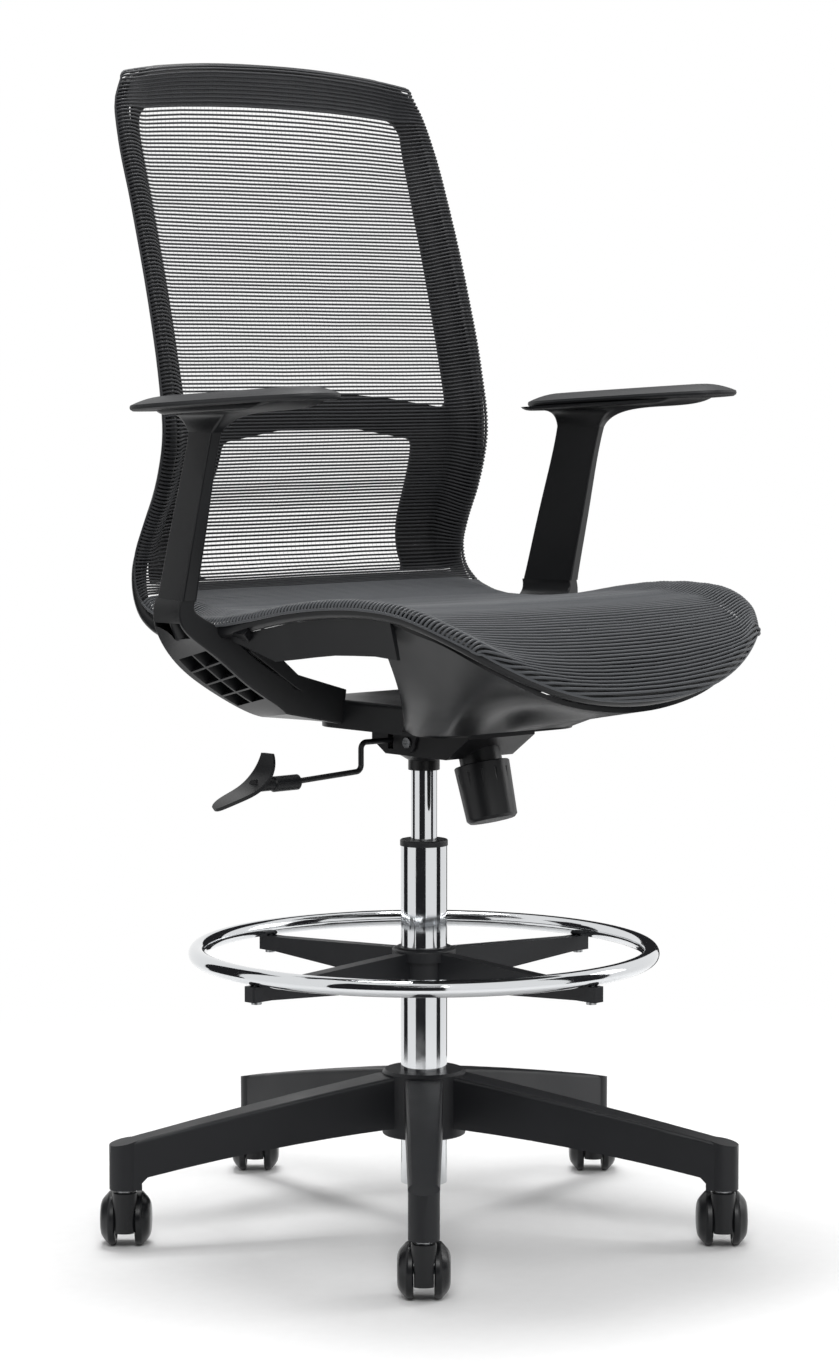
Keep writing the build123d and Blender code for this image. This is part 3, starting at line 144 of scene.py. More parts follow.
def linear(colour):
    """Linear RGBA of an sRGB hex colour."""
    parts = [int(colour[i:i + 2], 16) / 255 for i in (1, 3, 5)]
    return [c / 12.92 if c <= 0.04045 else ((c + 0.055) / 1.055) ** 2.4 for c in parts] + [1.0]


def colour_of(name, description, code):
    """A colour property with an sRGB hex default."""
    return bpy.props.FloatVectorProperty(
        name=name, description=description, default=linear(code), size=4, min=0, max=1, subtype="COLOR")


class Finishes(bpy.types.PropertyGroup):
    """Colours of the chair's finishes."""

    shell: colour_of("Shell", "Glass-filled nylon of rail, arms and carrier", "#101113")
    base: colour_of("Base", "Glass-filled nylon of the star base and spokes", "#16171a")
    border: colour_of("Border", "Matt nylon of the border behind the back's mesh", "#08080a")
    yarn: colour_of("Yarn", "Polyester ribs of the back's knitted mesh", "#222326")
    # The seat's ribs are the back's yarn: their lighter grey is painted light, for the light that falls on
    # the seat from above.
    lit_seat_yarn: colour_of("Seat yarn, painted lighter", "Polyester ribs of the seat's knitted mesh, painted lighter for the light from above", "#414346")
    pad: colour_of("Pad", "Skinned polyurethane foam of the arm pads", "#1a1b1d")
    coat: colour_of("Powder coat", "Coated steel of lever and mechanism", "#111113")
    wheel: colour_of("Wheel", "Nylon of the wheels", "#121315")
    chrome: colour_of("Chrome", "Chromium plate", "#d6d8da")
    steel: colour_of("Steel", "Ground steel of rod and pins", "#a9abad")


class StageSizes(bpy.types.PropertyGroup):
    """Camera and floor."""

    azimuth: bpy.props.FloatProperty(
        name="Azimuth", description="Where the camera stands round the chair",
        default=math.radians(-42), subtype="ANGLE", unit="ROTATION")
    distance: bpy.props.FloatProperty(
        name="Distance", description="Level distance from the column to the camera",
        default=3.99533, min=1, max=20, subtype="DISTANCE", unit="LENGTH")
    height: bpy.props.FloatProperty(
        name="Height", description="Height of the camera",
        default=0.934955, min=0, max=5, subtype="DISTANCE", unit="LENGTH")
    pitch: bpy.props.FloatProperty(
        name="Pitch", description="How far the camera looks down",
        default=0.0860146, subtype="ANGLE", unit="ROTATION")
    yaw: bpy.props.FloatProperty(
        name="Yaw", description="How far the camera looks to the left of the column",
        default=0.0012, subtype="ANGLE", unit="ROTATION")
    lens: bpy.props.FloatProperty(
        name="Lens", description="Focal length over a 36 mm sensor's long side, in millimetres",
        default=98.18, min=20, max=300)
    floor: colour_of("Floor", "Colour of the studio floor", "#f2f2f2")


# ================================================================ materials
def add_node(tree, kind, settings=None, links=None):
    """A node with its settings and the sockets that feed it: an attribute or a socket by name or place."""
    node = tree.nodes.new(kind)
    for key, value in (settings or {}).items():
        if isinstance(key, str) and hasattr(node, key):
            setattr(node, key, value)
        else:
            node.inputs[key].default_value = value
    for key, source in (links or {}).items():
        tree.links.new(source, node.inputs[key])
    return node


def new_material(name):
    """An empty node material and its output."""
    material = bpy.data.materials.new(name)
    material.use_nodes = True
    tree = material.node_tree
    tree.nodes.clear()
    return material, tree, add_node(tree, "ShaderNodeOutputMaterial")


def ramp_between(tree, source, low, high, dark, light):
    """Colour ramp from dark to light over a span of a value."""
    ramp = add_node(tree, "ShaderNodeValToRGB", links={"Fac": source})
    ramp.color_ramp.elements[0].position = low
    ramp.color_ramp.elements[0].color = dark
    ramp.color_ramp.elements[1].position = high
    ramp.color_ramp.elements[1].color = light
    return ramp


def shade(colour, share):
    """A linear colour made darker or lighter."""
    return [c * share for c in colour[:3]] + [1.0]


# The pitted skins of the moulded pieces and the yarn throw back less than a polished surface
PLASTIC_SPECULAR = 0.3
YARN_SPECULAR = 0.3


def moulded_plastic(name, colour, roughness, grain, relief, spread=0.08):
    """Moulded plastic with a spark-eroded grain: grain is the size of its pits in metres."""
    material, tree, output = new_material(name)
    place = add_node(tree, "ShaderNodeTexCoord")
    pits = add_node(tree, "ShaderNodeTexNoise", {"Scale": 1 / grain, "Detail": 3.0, "Roughness": 0.6},
                    {"Vector": place.outputs["Object"]})
    cloud = add_node(tree, "ShaderNodeTexNoise", {"Scale": 9.0, "Detail": 3.0},
                     {"Vector": place.outputs["Object"]})
    tone = ramp_between(tree, cloud.outputs["Fac"], 0.35, 0.68, shade(colour, 0.88), shade(colour, 1.13))
    gloss = add_node(tree, "ShaderNodeMapRange", {
        "From Min": 0.3, "From Max": 0.7, "To Min": roughness - spread, "To Max": roughness + spread,
    }, {"Value": cloud.outputs["Fac"]})
    bump = add_node(tree, "ShaderNodeBump", {"Strength": relief, "Distance": grain * 0.35},
                    {"Height": pits.outputs["Fac"]})
    skin = {"IOR": 1.5, "Specular IOR Level": PLASTIC_SPECULAR}
    shader = add_node(tree, "ShaderNodeBsdfPrincipled", skin, {
        "Base Color": tone.outputs["Color"], "Roughness": gloss.outputs["Result"],
        "Normal": bump.outputs["Normal"],
    })
    tree.links.new(shader.outputs["BSDF"], output.inputs["Surface"])
    return material


def chromium_plate(name, colour, roughness=0.07):
    """Polished chromium plate: mirror bright, with the faint waviness of the buffed steel under it."""
    material, tree, output = new_material(name)
    place = add_node(tree, "ShaderNodeTexCoord")
    wave = add_node(tree, "ShaderNodeTexNoise", {"Scale": 38.0, "Detail": 2.0},
                    {"Vector": place.outputs["Object"]})
    gloss = add_node(tree, "ShaderNodeMapRange", {
        "From Min": 0.3, "From Max": 0.7, "To Min": roughness - 0.03, "To Max": roughness + 0.04,
    }, {"Value": wave.outputs["Fac"]})
    bump = add_node(tree, "ShaderNodeBump", {"Strength": 0.03, "Distance": 0.0004},
                    {"Height": wave.outputs["Fac"]})
    shader = add_node(tree, "ShaderNodeBsdfPrincipled", {"Base Color": list(colour), "Metallic": 1.0}, {
        "Roughness": gloss.outputs["Result"], "Normal": bump.outputs["Normal"],
    })
    tree.links.new(shader.outputs["BSDF"], output.inputs["Surface"])
    return material


def ground_steel(name, colour):
    """Centreless-ground steel: fine rings round the axis, about 0.3 mm apart so that they show."""
    material, tree, output = new_material(name)
    place = add_node(tree, "ShaderNodeTexCoord")
    stretch = add_node(tree, "ShaderNodeMapping", {"Scale": (40.0, 40.0, 3300.0)},
                       {"Vector": place.outputs["Object"]})
    rings = add_node(tree, "ShaderNodeTexNoise", {"Scale": 1.0, "Detail": 2.0},
                     {"Vector": stretch.outputs["Vector"]})
    tone = ramp_between(tree, rings.outputs["Fac"], 0.3, 0.7, shade(colour, 0.85), list(colour))
    gloss = add_node(tree, "ShaderNodeMapRange", {
        "From Min": 0.3, "From Max": 0.7, "To Min": 0.22, "To Max": 0.36,
    }, {"Value": rings.outputs["Fac"]})
    bump = add_node(tree, "ShaderNodeBump", {"Strength": 0.1, "Distance": 0.0001},
                    {"Height": rings.outputs["Fac"]})
    shader = add_node(tree, "ShaderNodeBsdfPrincipled", {"Metallic": 1.0}, {
        "Base Color": tone.outputs["Color"], "Roughness": gloss.outputs["Result"],
        "Normal": bump.outputs["Normal"],
    })
    tree.links.new(shader.outputs["BSDF"], output.inputs["Surface"])
    return material


def knitted_yarn(name, colour):
    """Textured polyester yarn: filaments twisted every 1.5 mm or so, matt with a soft sheen."""
    material, tree, output = new_material(name)
    place = add_node(tree, "ShaderNodeTexCoord")
    twist = add_node(tree, "ShaderNodeMapping", {"Scale": (650.0, 2200.0, 2200.0)},
                     {"Vector": place.outputs["Object"]})
    fibres = add_node(tree, "ShaderNodeTexNoise", {"Scale": 1.0, "Detail": 2.0},
                      {"Vector": twist.outputs["Vector"]})
    tone = ramp_between(tree, fibres.outputs["Fac"], 0.32, 0.7, shade(colour, 0.85), shade(colour, 1.15))
    bump = add_node(tree, "ShaderNodeBump", {"Strength": 0.15, "Distance": 0.0002},
                    {"Height": fibres.outputs["Fac"]})
    shader = add_node(tree, "ShaderNodeBsdfPrincipled", {
        "Roughness": 0.5, "Sheen Weight": 0.12, "Sheen Roughness": 0.4, "IOR": 1.5,
        "Specular IOR Level": YARN_SPECULAR,
    }, {"Base Color": tone.outputs["Color"], "Normal": bump.outputs["Normal"]})
    tree.links.new(shader.outputs["BSDF"], output.inputs["Surface"])
    return material


def studio_floor(name, colour):
    """Matt painted floor that fades into the white backdrop away from the chair and keeps its shadow."""
    material, tree, output = new_material(name)
    place = add_node(tree, "ShaderNodeTexCoord")
    away = add_node(tree, "ShaderNodeVectorMath", {"operation": "LENGTH"}, {0: place.outputs["Object"]})
    fade = add_node(tree, "ShaderNodeMapRange", {
        "interpolation_type": "SMOOTHSTEP", "From Min": 0.4, "From Max": 1.5,
    }, {"Value": away.outputs["Value"]})
    grain = add_node(tree, "ShaderNodeTexNoise", {"Scale": 60.0, "Detail": 2.0},
                     {"Vector": place.outputs["Object"]})
    tone = ramp_between(tree, grain.outputs["Fac"], 0.3, 0.7, shade(colour, 0.985), list(colour))
    matt = add_node(tree, "ShaderNodeBsdfPrincipled", {"Roughness": 0.9, "Specular IOR Level": 0.1},
                    {"Base Color": tone.outputs["Color"]})
    white = add_node(tree, "ShaderNodeEmission", {"Color": (1, 1, 1, 1), "Strength": 1.0})
    path = add_node(tree, "ShaderNodeLightPath")
    seen = add_node(tree, "ShaderNodeMath", {"operation": "MAXIMUM"}, {
        0: path.outputs["Is Camera Ray"], 1: path.outputs["Is Glossy Ray"],
    })
    share = add_node(tree, "ShaderNodeMath", {"operation": "MULTIPLY"}, {
        0: fade.outputs["Result"], 1: seen.outputs["Value"],
    })
    mix = add_node(tree, "ShaderNodeMixShader", None, {
        0: share.outputs["Value"], 1: matt.outputs["BSDF"], 2: white.outputs["Emission"],
    })
    tree.links.new(mix.outputs["Shader"], output.inputs["Surface"])
    return material


def make_materials(finishes):
    """Every finish of the chair by its own name."""
    return {
        # Glass-filled nylon with a fine spark-eroded skin: satin black, soft broad highlights.
        "shell_nylon": moulded_plastic("Glass-filled nylon, satin", finishes.shell, 0.36, 0.0007, 0.12),
        # The border's matt skin, so that the ribs stand out in front of it.
        "border_nylon": moulded_plastic("Glass-filled nylon, matt", finishes.border, 0.6, 0.0007, 0.12),
        # The base's coarser skin: a little greyer and rougher.
        "base_nylon": moulded_plastic("Glass-filled nylon, grained", finishes.base, 0.46, 0.0010, 0.22),
        # Self-skinned polyurethane foam: leathery pebbles about 1.4 mm wide, dull sheen.
        "pad_foam": moulded_plastic("Skinned polyurethane", finishes.pad, 0.5, 0.0014, 0.25),
        # Powder coat: the orange peel of melted powder over steel.
        "powder_coat": moulded_plastic("Powder-coated steel", finishes.coat, 0.38, 0.0016, 0.18),
        # Nylon wheels: smoother, from a polished mould.
        "wheel_nylon": moulded_plastic("Polished nylon", finishes.wheel, 0.3, 0.0006, 0.08),
        "chrome": chromium_plate("Chromium plate", finishes.chrome),
        "steel": ground_steel("Ground steel", finishes.steel),
        "yarn": knitted_yarn("Polyester knit", finishes.yarn),
        # The seat's yarn: the back's yarn in a lighter grey, painted light for the light that falls on the
        # seat from above.
        "lit_seat_yarn": knitted_yarn("Polyester knit of the seat", finishes.lit_seat_yarn),
    }


FINISH_OF = {
    "border_nylon": ["back_border"],
    "shell_nylon": ["shell_rail", "seat_carrier", "front_moulding", "arm_left", "arm_right",
                    "lever_handle", "tension_knob", "spring_sleeve"],
    "base_nylon": ["star_base", "ring_spokes", "column_guide", "ring_bush"],
    "pad_foam": ["pad_left", "pad_right"],
    "powder_coat": ["mechanism_housing", "lift_socket", "socket_ring", "tilt_plate", "lever_rod",
                    "lever_block", "thrust_plate"],
    "chrome": ["column_tube", "gas_cylinder", "foot_ring"],
    "steel": ["piston_rod", "thrust_bearing", "rod_clip", "pivot_pin", "tension_spring", "release_pin",
              "plate_bolts", "shell_screws", "arm_bolts", "lever_cross_pin", "tension_bolt", "ring_screws"],
}


def finish_nodes(name):
    """Gives one finish to the frame's nodes that have it."""
    material = bpy.data.materials[MATERIALS[name]]
    for node in FINISH_OF[name]:
        NODES[node].data.materials.clear()
        NODES[node].data.materials.append(material)


MATERIALS = {}


# ================================================================ the knitted mesh
def shell_curves():
    """Distance along the rail of each row, the rows in metres, and their slopes."""
    rows = np.array(SHELL_ROWS, float) / 1000
    steps = np.hypot(np.diff(rows[:, 1]), np.diff(rows[:, 2]))
    knots = np.concatenate([[0], np.cumsum(steps)])
    return knots, rows, np.gradient(rows, knots, axis=0)


def shell_at(curves, v):
    """Row values at distances v along the rail, and their slopes, from a smooth curve through the rows."""
    knots, rows, slopes = curves
    i = np.clip(np.searchsorted(knots, v, side="right") - 1, 0, len(knots) - 2)
    span = (knots[i + 1] - knots[i])[..., None]
    t = (v - knots[i])[..., None] / span
    a, b, ma, mb = rows[i], rows[i + 1], slopes[i] * span, slopes[i + 1] * span
    value = (2 * t**3 - 3 * t**2 + 1) * a + (t**3 - 2 * t**2 + t) * ma
    value = value + (3 * t**2 - 2 * t**3) * b + (t**3 - t**2) * mb
    slope = ((6 * t**2 - 6 * t) * (a - b) + (3 * t**2 - 4 * t + 1) * ma + (3 * t**2 - 2 * t) * mb) / span
    return value, slope


def shell_points(curves, across, v, lift):
    """Points of the mesh's middle at shares across (-1 to 1) and distances v, with the rail's
    middle there, the way to the sitter and the way on along the rail."""
    value, slope = shell_at(curves, v)
    half, y, z, bow_y, bow_z, dish = np.moveaxis(value, -1, 0)
    size = np.hypot(slope[..., 1], slope[..., 2])
    zero = np.zeros_like(size)
    onward = np.stack([zero, slope[..., 1] / size, slope[..., 2] / size], -1)
    sitter = np.stack([zero, onward[..., 2], -onward[..., 1]], -1)
    side = np.abs(across)
    place_y = y + bow_y * (1 - side**BOW_POWER_Y)
    place_z = z + bow_z * (1 - side**BOW_POWER_Z)
    middle = np.stack([across * half, place_y, place_z], -1)
    t = np.clip(half * (1 - side) / LIP_WIDTH, 0, 1)
    depth = lift - dish * t * t * (3 - 2 * t)
    return middle + sitter * depth[..., None], middle, sitter, onward


def even_lengths(curves, across, lift):
    """Distances v from the even row on at a share across, and the cloth's own length there."""
    v = np.linspace(curves[0][EVEN_ROW], curves[0][-1], 160)
    points = shell_points(curves, np.full_like(v, across), v, lift)[0]
    steps = np.linalg.norm(np.diff(points, axis=0), axis=1)
    return v, v[0] + np.concatenate([[0], np.cumsum(steps)])


def rib_reach(curves, lift, wrap):
    """Shares across from the middle out, and how far forward the cloth goes there and round the rail."""
    shares = np.linspace(0, 1, 41)
    return shares, np.array([even_lengths(curves, a, lift)[1][-1] + lift * wrap for a in shares])


def rib_path(curves, sizes, reach, cloth):
    """Points of one rib at a distance along the cloth: across the shell and round the rail at both ends."""
    lift = RAIL_RADIUS + sizes.rail_gap + sizes.rib_radius
    shares, lengths = reach
    widest = float(np.interp(-cloth, -lengths, shares)) if cloth > lengths[-1] else 1.0
    path = []
    for across in [share * widest for share in cross_stations()]:
        if cloth <= curves[0][EVEN_ROW]:
            v, over = max(cloth, 0.0), min(cloth, 0.0)
        else:
            along, own = even_lengths(curves, across, lift)
            v, over = float(np.interp(cloth, own, along)), max(cloth - own[-1], 0.0)
        point, middle, sitter, onward = shell_points(curves, np.array(across), np.array(v), lift)
        if over:
            turn, edge = abs(over) / lift, onward * math.copysign(1, over)
            point = middle + lift * (sitter * math.cos(turn) + edge * math.sin(turn))
        path.append((across, point, middle, sitter, onward, over))
    points = [p[1] for p in path]
    for end in (0, -1):
        across, _, middle, sitter, onward, over = path[end]
        if abs(across) < 1:
            continue
        extra = []
        for step in range(1, 8):
            aside = step * lift * sizes.wrap / 7
            turn = math.hypot(aside, over) / lift
            if turn > sizes.wrap * 1.02:
                break
            edge = (np.array([math.copysign(aside, across), 0, 0]) + onward * over) / (turn * lift)
            extra.append(middle + lift * (sitter * math.cos(turn) + edge * math.sin(turn)))
        points = extra[::-1] + points if end == 0 else points + extra
    return points


def hem_path(curves, sizes, crease, end):
    """Points of the hem round the rail, from the crease up one side, across the shell's end and back."""
    lift = RAIL_RADIUS + sizes.rail_gap + sizes.hem_radius
    cosine, sine = math.cos(sizes.wrap), math.sin(sizes.wrap)
    stops = [(1.0, v, 0.0) for v in np.linspace(crease, end, 60)]
    stops += [(1.0, end, math.radians(a)) for a in (22.5, 45.0, 67.5)]
    stops += [(across, end, math.radians(90)) for across in np.linspace(1, -1, 41)]
    stops += [(-1.0, end, math.radians(a)) for a in (112.5, 135.0, 157.5)]
    stops += [(-1.0, v, math.radians(180)) for v in np.linspace(end, crease, 60)]
    path = []
    for across, v, way in stops:
        _, middle, sitter, onward = shell_points(curves, np.array(across), np.array(v), lift)
        edge = np.array([math.cos(way), 0, 0]) + onward * math.sin(way) * (1 if end > crease else -1)
        path.append(middle + lift * (sitter * cosine + edge * sine))
    return path


def uneven(point, pull):
    """A point moved by the slow unevenness of the stretched cloth."""
    wave = noise.noise(Vector((point[0] * 14, point[1] * 60, point[2] * 60)))
    return (point[0], point[1], point[2] + pull * 2 * wave)


def rod_curve(name, paths, radius, sides):
    """One mesh object with a round rod along each path."""
    curve = bpy.data.curves.new(name, "CURVE")
    curve.dimensions = "3D"
    curve.bevel_depth = radius
    curve.bevel_resolution = sides
    curve.use_fill_caps = True
    for path in paths:
        spline = curve.splines.new("POLY")
        spline.points.add(len(path) - 1)
        for point, place in zip(spline.points, path):
            point.co = (*place, 1)
        spline.use_smooth = True
    holder = bpy.data.objects.new(name + "_path", curve)
    bpy.context.scene.collection.objects.link(holder)
    bpy.context.view_layer.update()
    mesh = bpy.data.meshes.new_from_object(holder.evaluated_get(bpy.context.evaluated_depsgraph_get()))
    bpy.data.objects.remove(holder)
    bpy.data.curves.remove(curve)
    mesh.name = name
    piece = bpy.data.objects.new(name, mesh)
    bpy.context.scene.collection.objects.link(piece)
    return piece


def cross_stations():
    """Shares across the shell: close together over the lips at its sides."""
    lips = [0.835, 0.87, 0.90, 0.93, 0.955, 0.98, 1.0]
    inner = [0.0, 0.2, 0.4, 0.6, 0.74]
    half = inner[1:] + lips
    return [-a for a in reversed(half)] + [0.0] + half


def end_tape(name, curves, sizes):
    """Tape sewn under the ribs along the back's upper edge, from the rail down over the lip."""
    lift = RAIL_RADIUS + sizes.rail_gap / 2
    across = np.linspace(-1, 1, 49)
    tape = bmesh.new()
    rows = []
    for v in np.linspace(0, LIP_WIDTH, 7):
        points = shell_points(curves, across, np.full_like(across, v), lift)[0]
        rows.append([tape.verts.new(point) for point in points])
    for upper, lower in zip(rows, rows[1:]):
        for i in range(len(upper) - 1):
            tape.faces.new((upper[i], upper[i + 1], lower[i + 1], lower[i]))
    mesh = bpy.data.meshes.new(name)
    tape.to_mesh(mesh)
    tape.free()
    piece = bpy.data.objects.new(name, mesh)
    bpy.context.scene.collection.objects.link(piece)
    return piece


def knit(name, sizes, first, last, yarn, share=1.0):
    """Ribs of the mesh between two rows, and the threads that join them."""
    curves = shell_curves()
    knots = curves[0]
    lift = RAIL_RADIUS + sizes.rail_gap + sizes.rib_radius
    reach = rib_reach(curves, lift, sizes.wrap)
    start = knots[first] if first else -lift * sizes.wrap
    end = knots[last] if last < len(knots) - 1 else reach[1][0]
    pitch = sizes.rib_pitch * share
    count = int((end - start) / pitch)
    paths = []
    for i in range(count):
        cloth = start + (i + 0.5) * pitch
        paths.append([uneven(p, sizes.pull) for p in rib_path(curves, sizes, reach, cloth)])
    ribs = rod_curve(name, paths, sizes.rib_radius * share, 1)

    low, high = knots[first], knots[last]
    threads = []
    pairs = int(THREADS_HALF / sizes.thread_spacing)
    v = np.linspace(low, high, int((high - low) / THREAD_STEP) + 1)
    for i in range(-pairs, pairs + 1):
        share = np.full_like(v, i * sizes.thread_spacing / THREADS_FULL)
        threads.append(shell_points(curves, share, v, lift)[0])
    joined = rod_curve(name + "_threads", threads, sizes.thread_radius, 0)
    crease, outer = (high, low) if first == 0 else (low, high)
    hem = rod_curve(name + "_hem", [hem_path(curves, sizes, crease, outer)], sizes.hem_radius, 2)
    pieces = [ribs, joined, hem]
    if first == 0:
        pieces.append(end_tape(name + "_tape", curves, sizes))
    for piece in pieces:
        piece.data.materials.clear()
        piece.data.materials.append(bpy.data.materials[MATERIALS[yarn]])
        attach(piece, "seat")
    return pieces


# ================================================================ operators
class ChairOperator:
    """What the chair's operators share."""

    bl_options = {"REGISTER", "UNDO"}


class CHAIR_OT_finishes(ChairOperator, bpy.types.Operator):
    """Make the chair's finishes"""

    bl_idname = "chair.finishes"
    bl_label = "Finishes"

    def execute(self, context):
        for name, material in make_materials(context.scene.chair_finishes).items():
            MATERIALS[name] = material.name
        return {"FINISHED"}


class CHAIR_OT_shell(ChairOperator, bpy.types.Operator):
    """Finish the rail, border, carrier, arms and handles"""

    bl_idname = "chair.shell"
    bl_label = "Shell and arms"

    def execute(self, context):
        finish_nodes("shell_nylon")
        finish_nodes("border_nylon")
        finish_nodes("pad_foam")
        return {"FINISHED"}


class CHAIR_OT_base(ChairOperator, bpy.types.Operator):
    """Finish the star base, the spoked hub and the casters"""

    bl_idname = "chair.base"
    bl_label = "Base and casters"

    def execute(self, context):
        finish_nodes("base_nylon")
        for name, node in NODES.items():
            if name.startswith("caster"):
                kind = "steel" if name.endswith("pins") else "wheel_nylon"
                node.data.materials.clear()
                node.data.materials.append(bpy.data.materials[MATERIALS[kind]])
        return {"FINISHED"}


class CHAIR_OT_metal(ChairOperator, bpy.types.Operator):
    """Finish the column, the foot ring and the mechanism"""

    bl_idname = "chair.metal"
    bl_label = "Column, ring and mechanism"

    def execute(self, context):
        for name in ("chrome", "steel", "powder_coat"):
            finish_nodes(name)
        return {"FINISHED"}


class CHAIR_OT_back_mesh(ChairOperator, bpy.types.Operator):
    """Knit the mesh of the back"""

    bl_idname = "chair.back_mesh"
    bl_label = "Mesh of the back"

    def execute(self, context):
        ribs, *others = knit("back_knit", context.scene.chair_knit, 0, CREASE_ROW, "yarn")
        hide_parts("back_mesh")
        return {"FINISHED"}


class CHAIR_OT_seat_mesh(ChairOperator, bpy.types.Operator):
    """Knit the mesh of the seat"""

    bl_idname = "chair.seat_mesh"
    bl_label = "Mesh of the seat"

    def execute(self, context):
        sizes = context.scene.chair_knit
        last = len(SHELL_ROWS) - 1
        ribs, *others = knit("seat_knit", sizes, CREASE_ROW, last, "lit_seat_yarn", sizes.seat_share)
        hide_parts("seat_mesh")
        return {"FINISHED"}


def area_lamp(name, place, target, width, height, power):
    """A soft box that looks at a point."""
    lamp = bpy.data.lights.new(name, "AREA")
    lamp.shape = "RECTANGLE"
    lamp.size, lamp.size_y, lamp.energy = width, height, power
    holder = bpy.data.objects.new(name, lamp)
    holder.location = place
    holder.rotation_euler = (Vector(target) - Vector(place)).to_track_quat("-Z", "Y").to_euler()
    bpy.context.scene.collection.objects.link(holder)


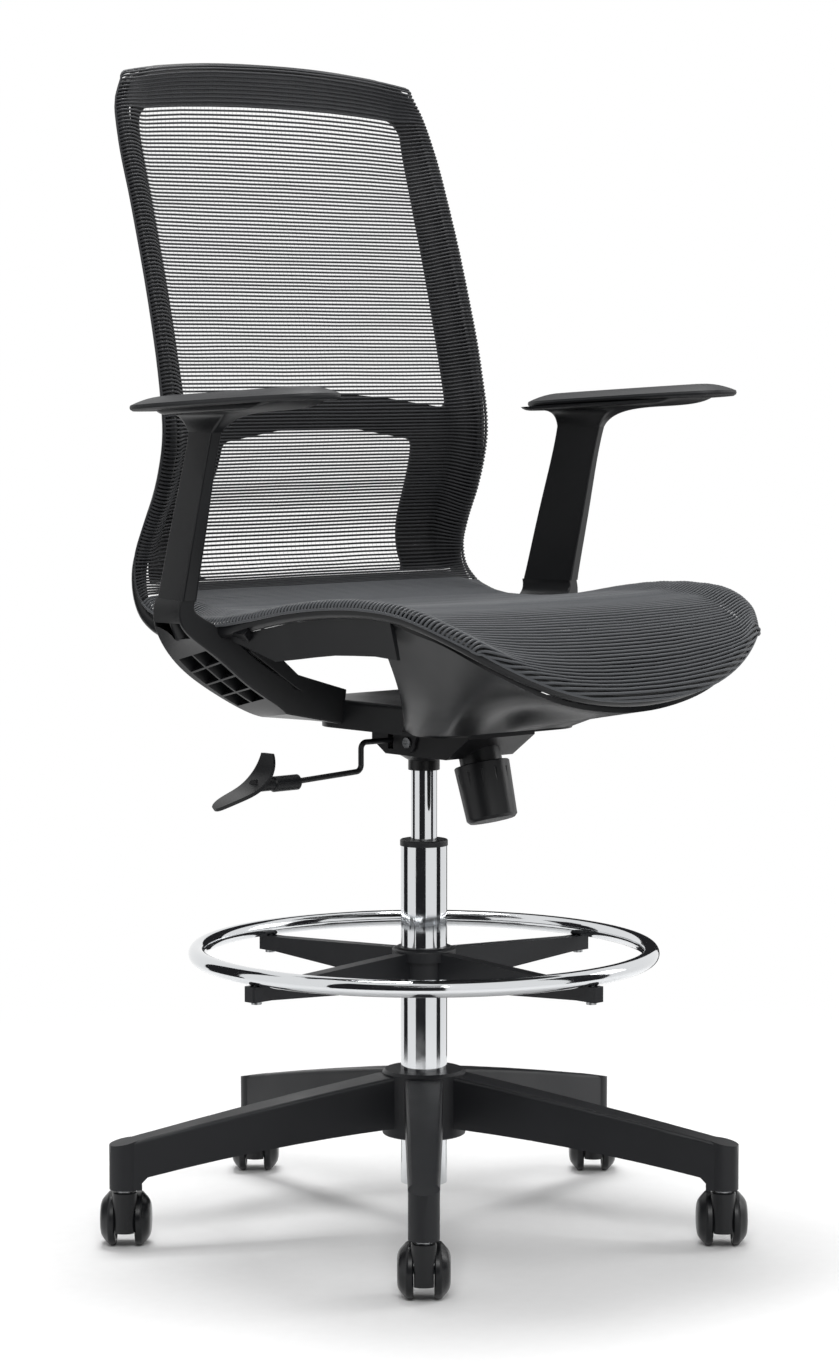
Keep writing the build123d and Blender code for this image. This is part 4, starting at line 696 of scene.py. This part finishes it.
def dark_flag(name, middle, span, material):
    """A tall dark screen round the chair that only mirrors see, so that chrome has something to show."""
    shape = bmesh.new()
    start = math.radians(middle - span / 2)
    foot = FLAG_RADIUS * Vector((math.sin(start), -math.cos(start), 0))
    ends = [shape.verts.new(foot + Vector((0, 0, height))) for height in (FLAG_FOOT, FLAG_TOP)]
    edge = shape.edges.new(ends)
    bmesh.ops.spin(shape, geom=ends + [edge], cent=(0, 0, 0), axis=(0, 0, 1), dvec=(0, 0, 0),
                   angle=math.radians(span), steps=12, use_merge=False, use_duplicate=False)
    mesh = bpy.data.meshes.new(name)
    shape.to_mesh(mesh)
    shape.free()
    mesh.materials.append(material)
    flag = bpy.data.objects.new(name, mesh)
    flag.visible_camera = flag.visible_diffuse = flag.visible_transmission = flag.visible_shadow = False
    bpy.context.scene.collection.objects.link(flag)
    flag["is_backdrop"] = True


class CHAIR_OT_studio(ChairOperator, bpy.types.Operator):
    """Build the floor, the lamps, the white surround and the camera"""

    bl_idname = "chair.studio"
    bl_label = "Studio"

    def execute(self, context):
        scene, sizes = context.scene, context.scene.chair_stage
        plane = bmesh.new()
        bmesh.ops.create_grid(plane, x_segments=1, y_segments=1, size=FLOOR_HALF)
        mesh = bpy.data.meshes.new("studio_floor")
        plane.to_mesh(mesh)
        plane.free()
        floor = bpy.data.objects.new("studio_floor", mesh)
        floor.data.materials.append(studio_floor("Painted floor", sizes.floor))
        scene.collection.objects.link(floor)
        floor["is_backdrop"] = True

        felt, tree, output = new_material("Black felt")
        dull = add_node(tree, "ShaderNodeEmission", {"Color": (0.02, 0.02, 0.022, 1), "Strength": 1.0})
        tree.links.new(dull.outputs["Emission"], output.inputs["Surface"])
        for name, (middle, span) in FLAGS.items():
            dark_flag(name, middle, span, felt)

        world = bpy.data.worlds.new("Studio white")
        world.use_nodes = True
        tree = world.node_tree
        tree.nodes.clear()
        path = add_node(tree, "ShaderNodeLightPath")
        direct = add_node(tree, "ShaderNodeMath", {"operation": "MAXIMUM"}, {
            0: path.outputs["Is Camera Ray"], 1: path.outputs["Is Transmission Ray"],
        })
        seen = add_node(tree, "ShaderNodeMath", {"operation": "MAXIMUM"}, {
            0: direct.outputs["Value"], 1: path.outputs["Is Glossy Ray"],
        })
        light = add_node(tree, "ShaderNodeBackground", {"Color": (1, 1, 1, 1), "Strength": SURROUND_LIGHT})
        white = add_node(tree, "ShaderNodeBackground", {"Color": (1, 1, 1, 1), "Strength": SURROUND_SEEN})
        mix = add_node(tree, "ShaderNodeMixShader", None, {
            0: seen.outputs["Value"], 1: light.outputs["Background"], 2: white.outputs["Background"],
        })
        add_node(tree, "ShaderNodeOutputWorld", None, {"Surface": mix.outputs["Shader"]})
        scene.world = world

        for lamp in LAMPS:
            area_lamp(*lamp)

        turn, pitch, yaw = sizes.azimuth, sizes.pitch, sizes.yaw
        level = Vector((-math.sin(turn), math.cos(turn), 0))
        right = Vector((math.cos(turn), math.sin(turn), 0))
        level, right = (level * math.cos(yaw) - right * math.sin(yaw),
                        right * math.cos(yaw) + level * math.sin(yaw))
        up = level * math.sin(pitch) + Vector((0, 0, math.cos(pitch)))
        data = bpy.data.cameras.new("camera")
        data.lens, data.sensor_width, data.sensor_fit = sizes.lens, 36, "AUTO"
        data.clip_end = 100
        camera = bpy.data.objects.new("camera", data)
        place = Vector((math.sin(turn), -math.cos(turn), 0)) * sizes.distance + Vector((0, 0, sizes.height))
        axes = Matrix((right, up, right.cross(up))).transposed()
        camera.matrix_world = Matrix.Translation(place) @ axes.to_4x4()
        scene.collection.objects.link(camera)
        scene.camera = camera
        scene.view_settings.view_transform = "Standard"
        return {"FINISHED"}


class CHAIR_PT_panel(bpy.types.Panel):
    """Shows the chair's sizes, finishes and stage settings, and its operators"""

    bl_idname = "CHAIR_PT_panel"
    bl_label = "Drafting chair"
    bl_space_type = "VIEW_3D"
    bl_region_type = "UI"
    bl_category = "Chair"

    def draw(self, context):
        for group in (context.scene.chair_knit, context.scene.chair_finishes, context.scene.chair_stage):
            box = self.layout.box()
            for name in group.bl_rna.properties.keys():
                if name not in ("rna_type", "name"):
                    box.prop(group, name)
        for operator in OPERATORS:
            self.layout.operator(operator.bl_idname)


OPERATORS = [CHAIR_OT_finishes, CHAIR_OT_shell, CHAIR_OT_base, CHAIR_OT_metal, CHAIR_OT_back_mesh,
             CHAIR_OT_seat_mesh, CHAIR_OT_studio]
GROUPS = {"chair_knit": KnitSizes, "chair_finishes": Finishes, "chair_stage": StageSizes}


def register():
    """Registers the groups, the operators and the panel."""
    for group in GROUPS.values():
        bpy.utils.register_class(group)
    for name, group in GROUPS.items():
        setattr(bpy.types.Scene, name, bpy.props.PointerProperty(type=group))
    for kind in OPERATORS + [CHAIR_PT_panel]:
        bpy.utils.register_class(kind)


def unregister():
    """Takes them out again."""
    for kind in reversed(OPERATORS + [CHAIR_PT_panel]):
        bpy.utils.unregister_class(kind)
    for name in GROUPS:
        delattr(bpy.types.Scene, name)
    for group in reversed(list(GROUPS.values())):
        bpy.utils.unregister_class(group)


def main():
    """Makes the whole chair."""
    register()
    for operator in OPERATORS:
        group, name = operator.bl_idname.split(".")
        getattr(getattr(bpy.ops, group), name)()
    boxes = {"cad": CAD_BOX, "visual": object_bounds()}
    boxes = {name: [list(corner) for corner in box] for name, box in boxes.items()}


if __name__ == "__main__":
    main()
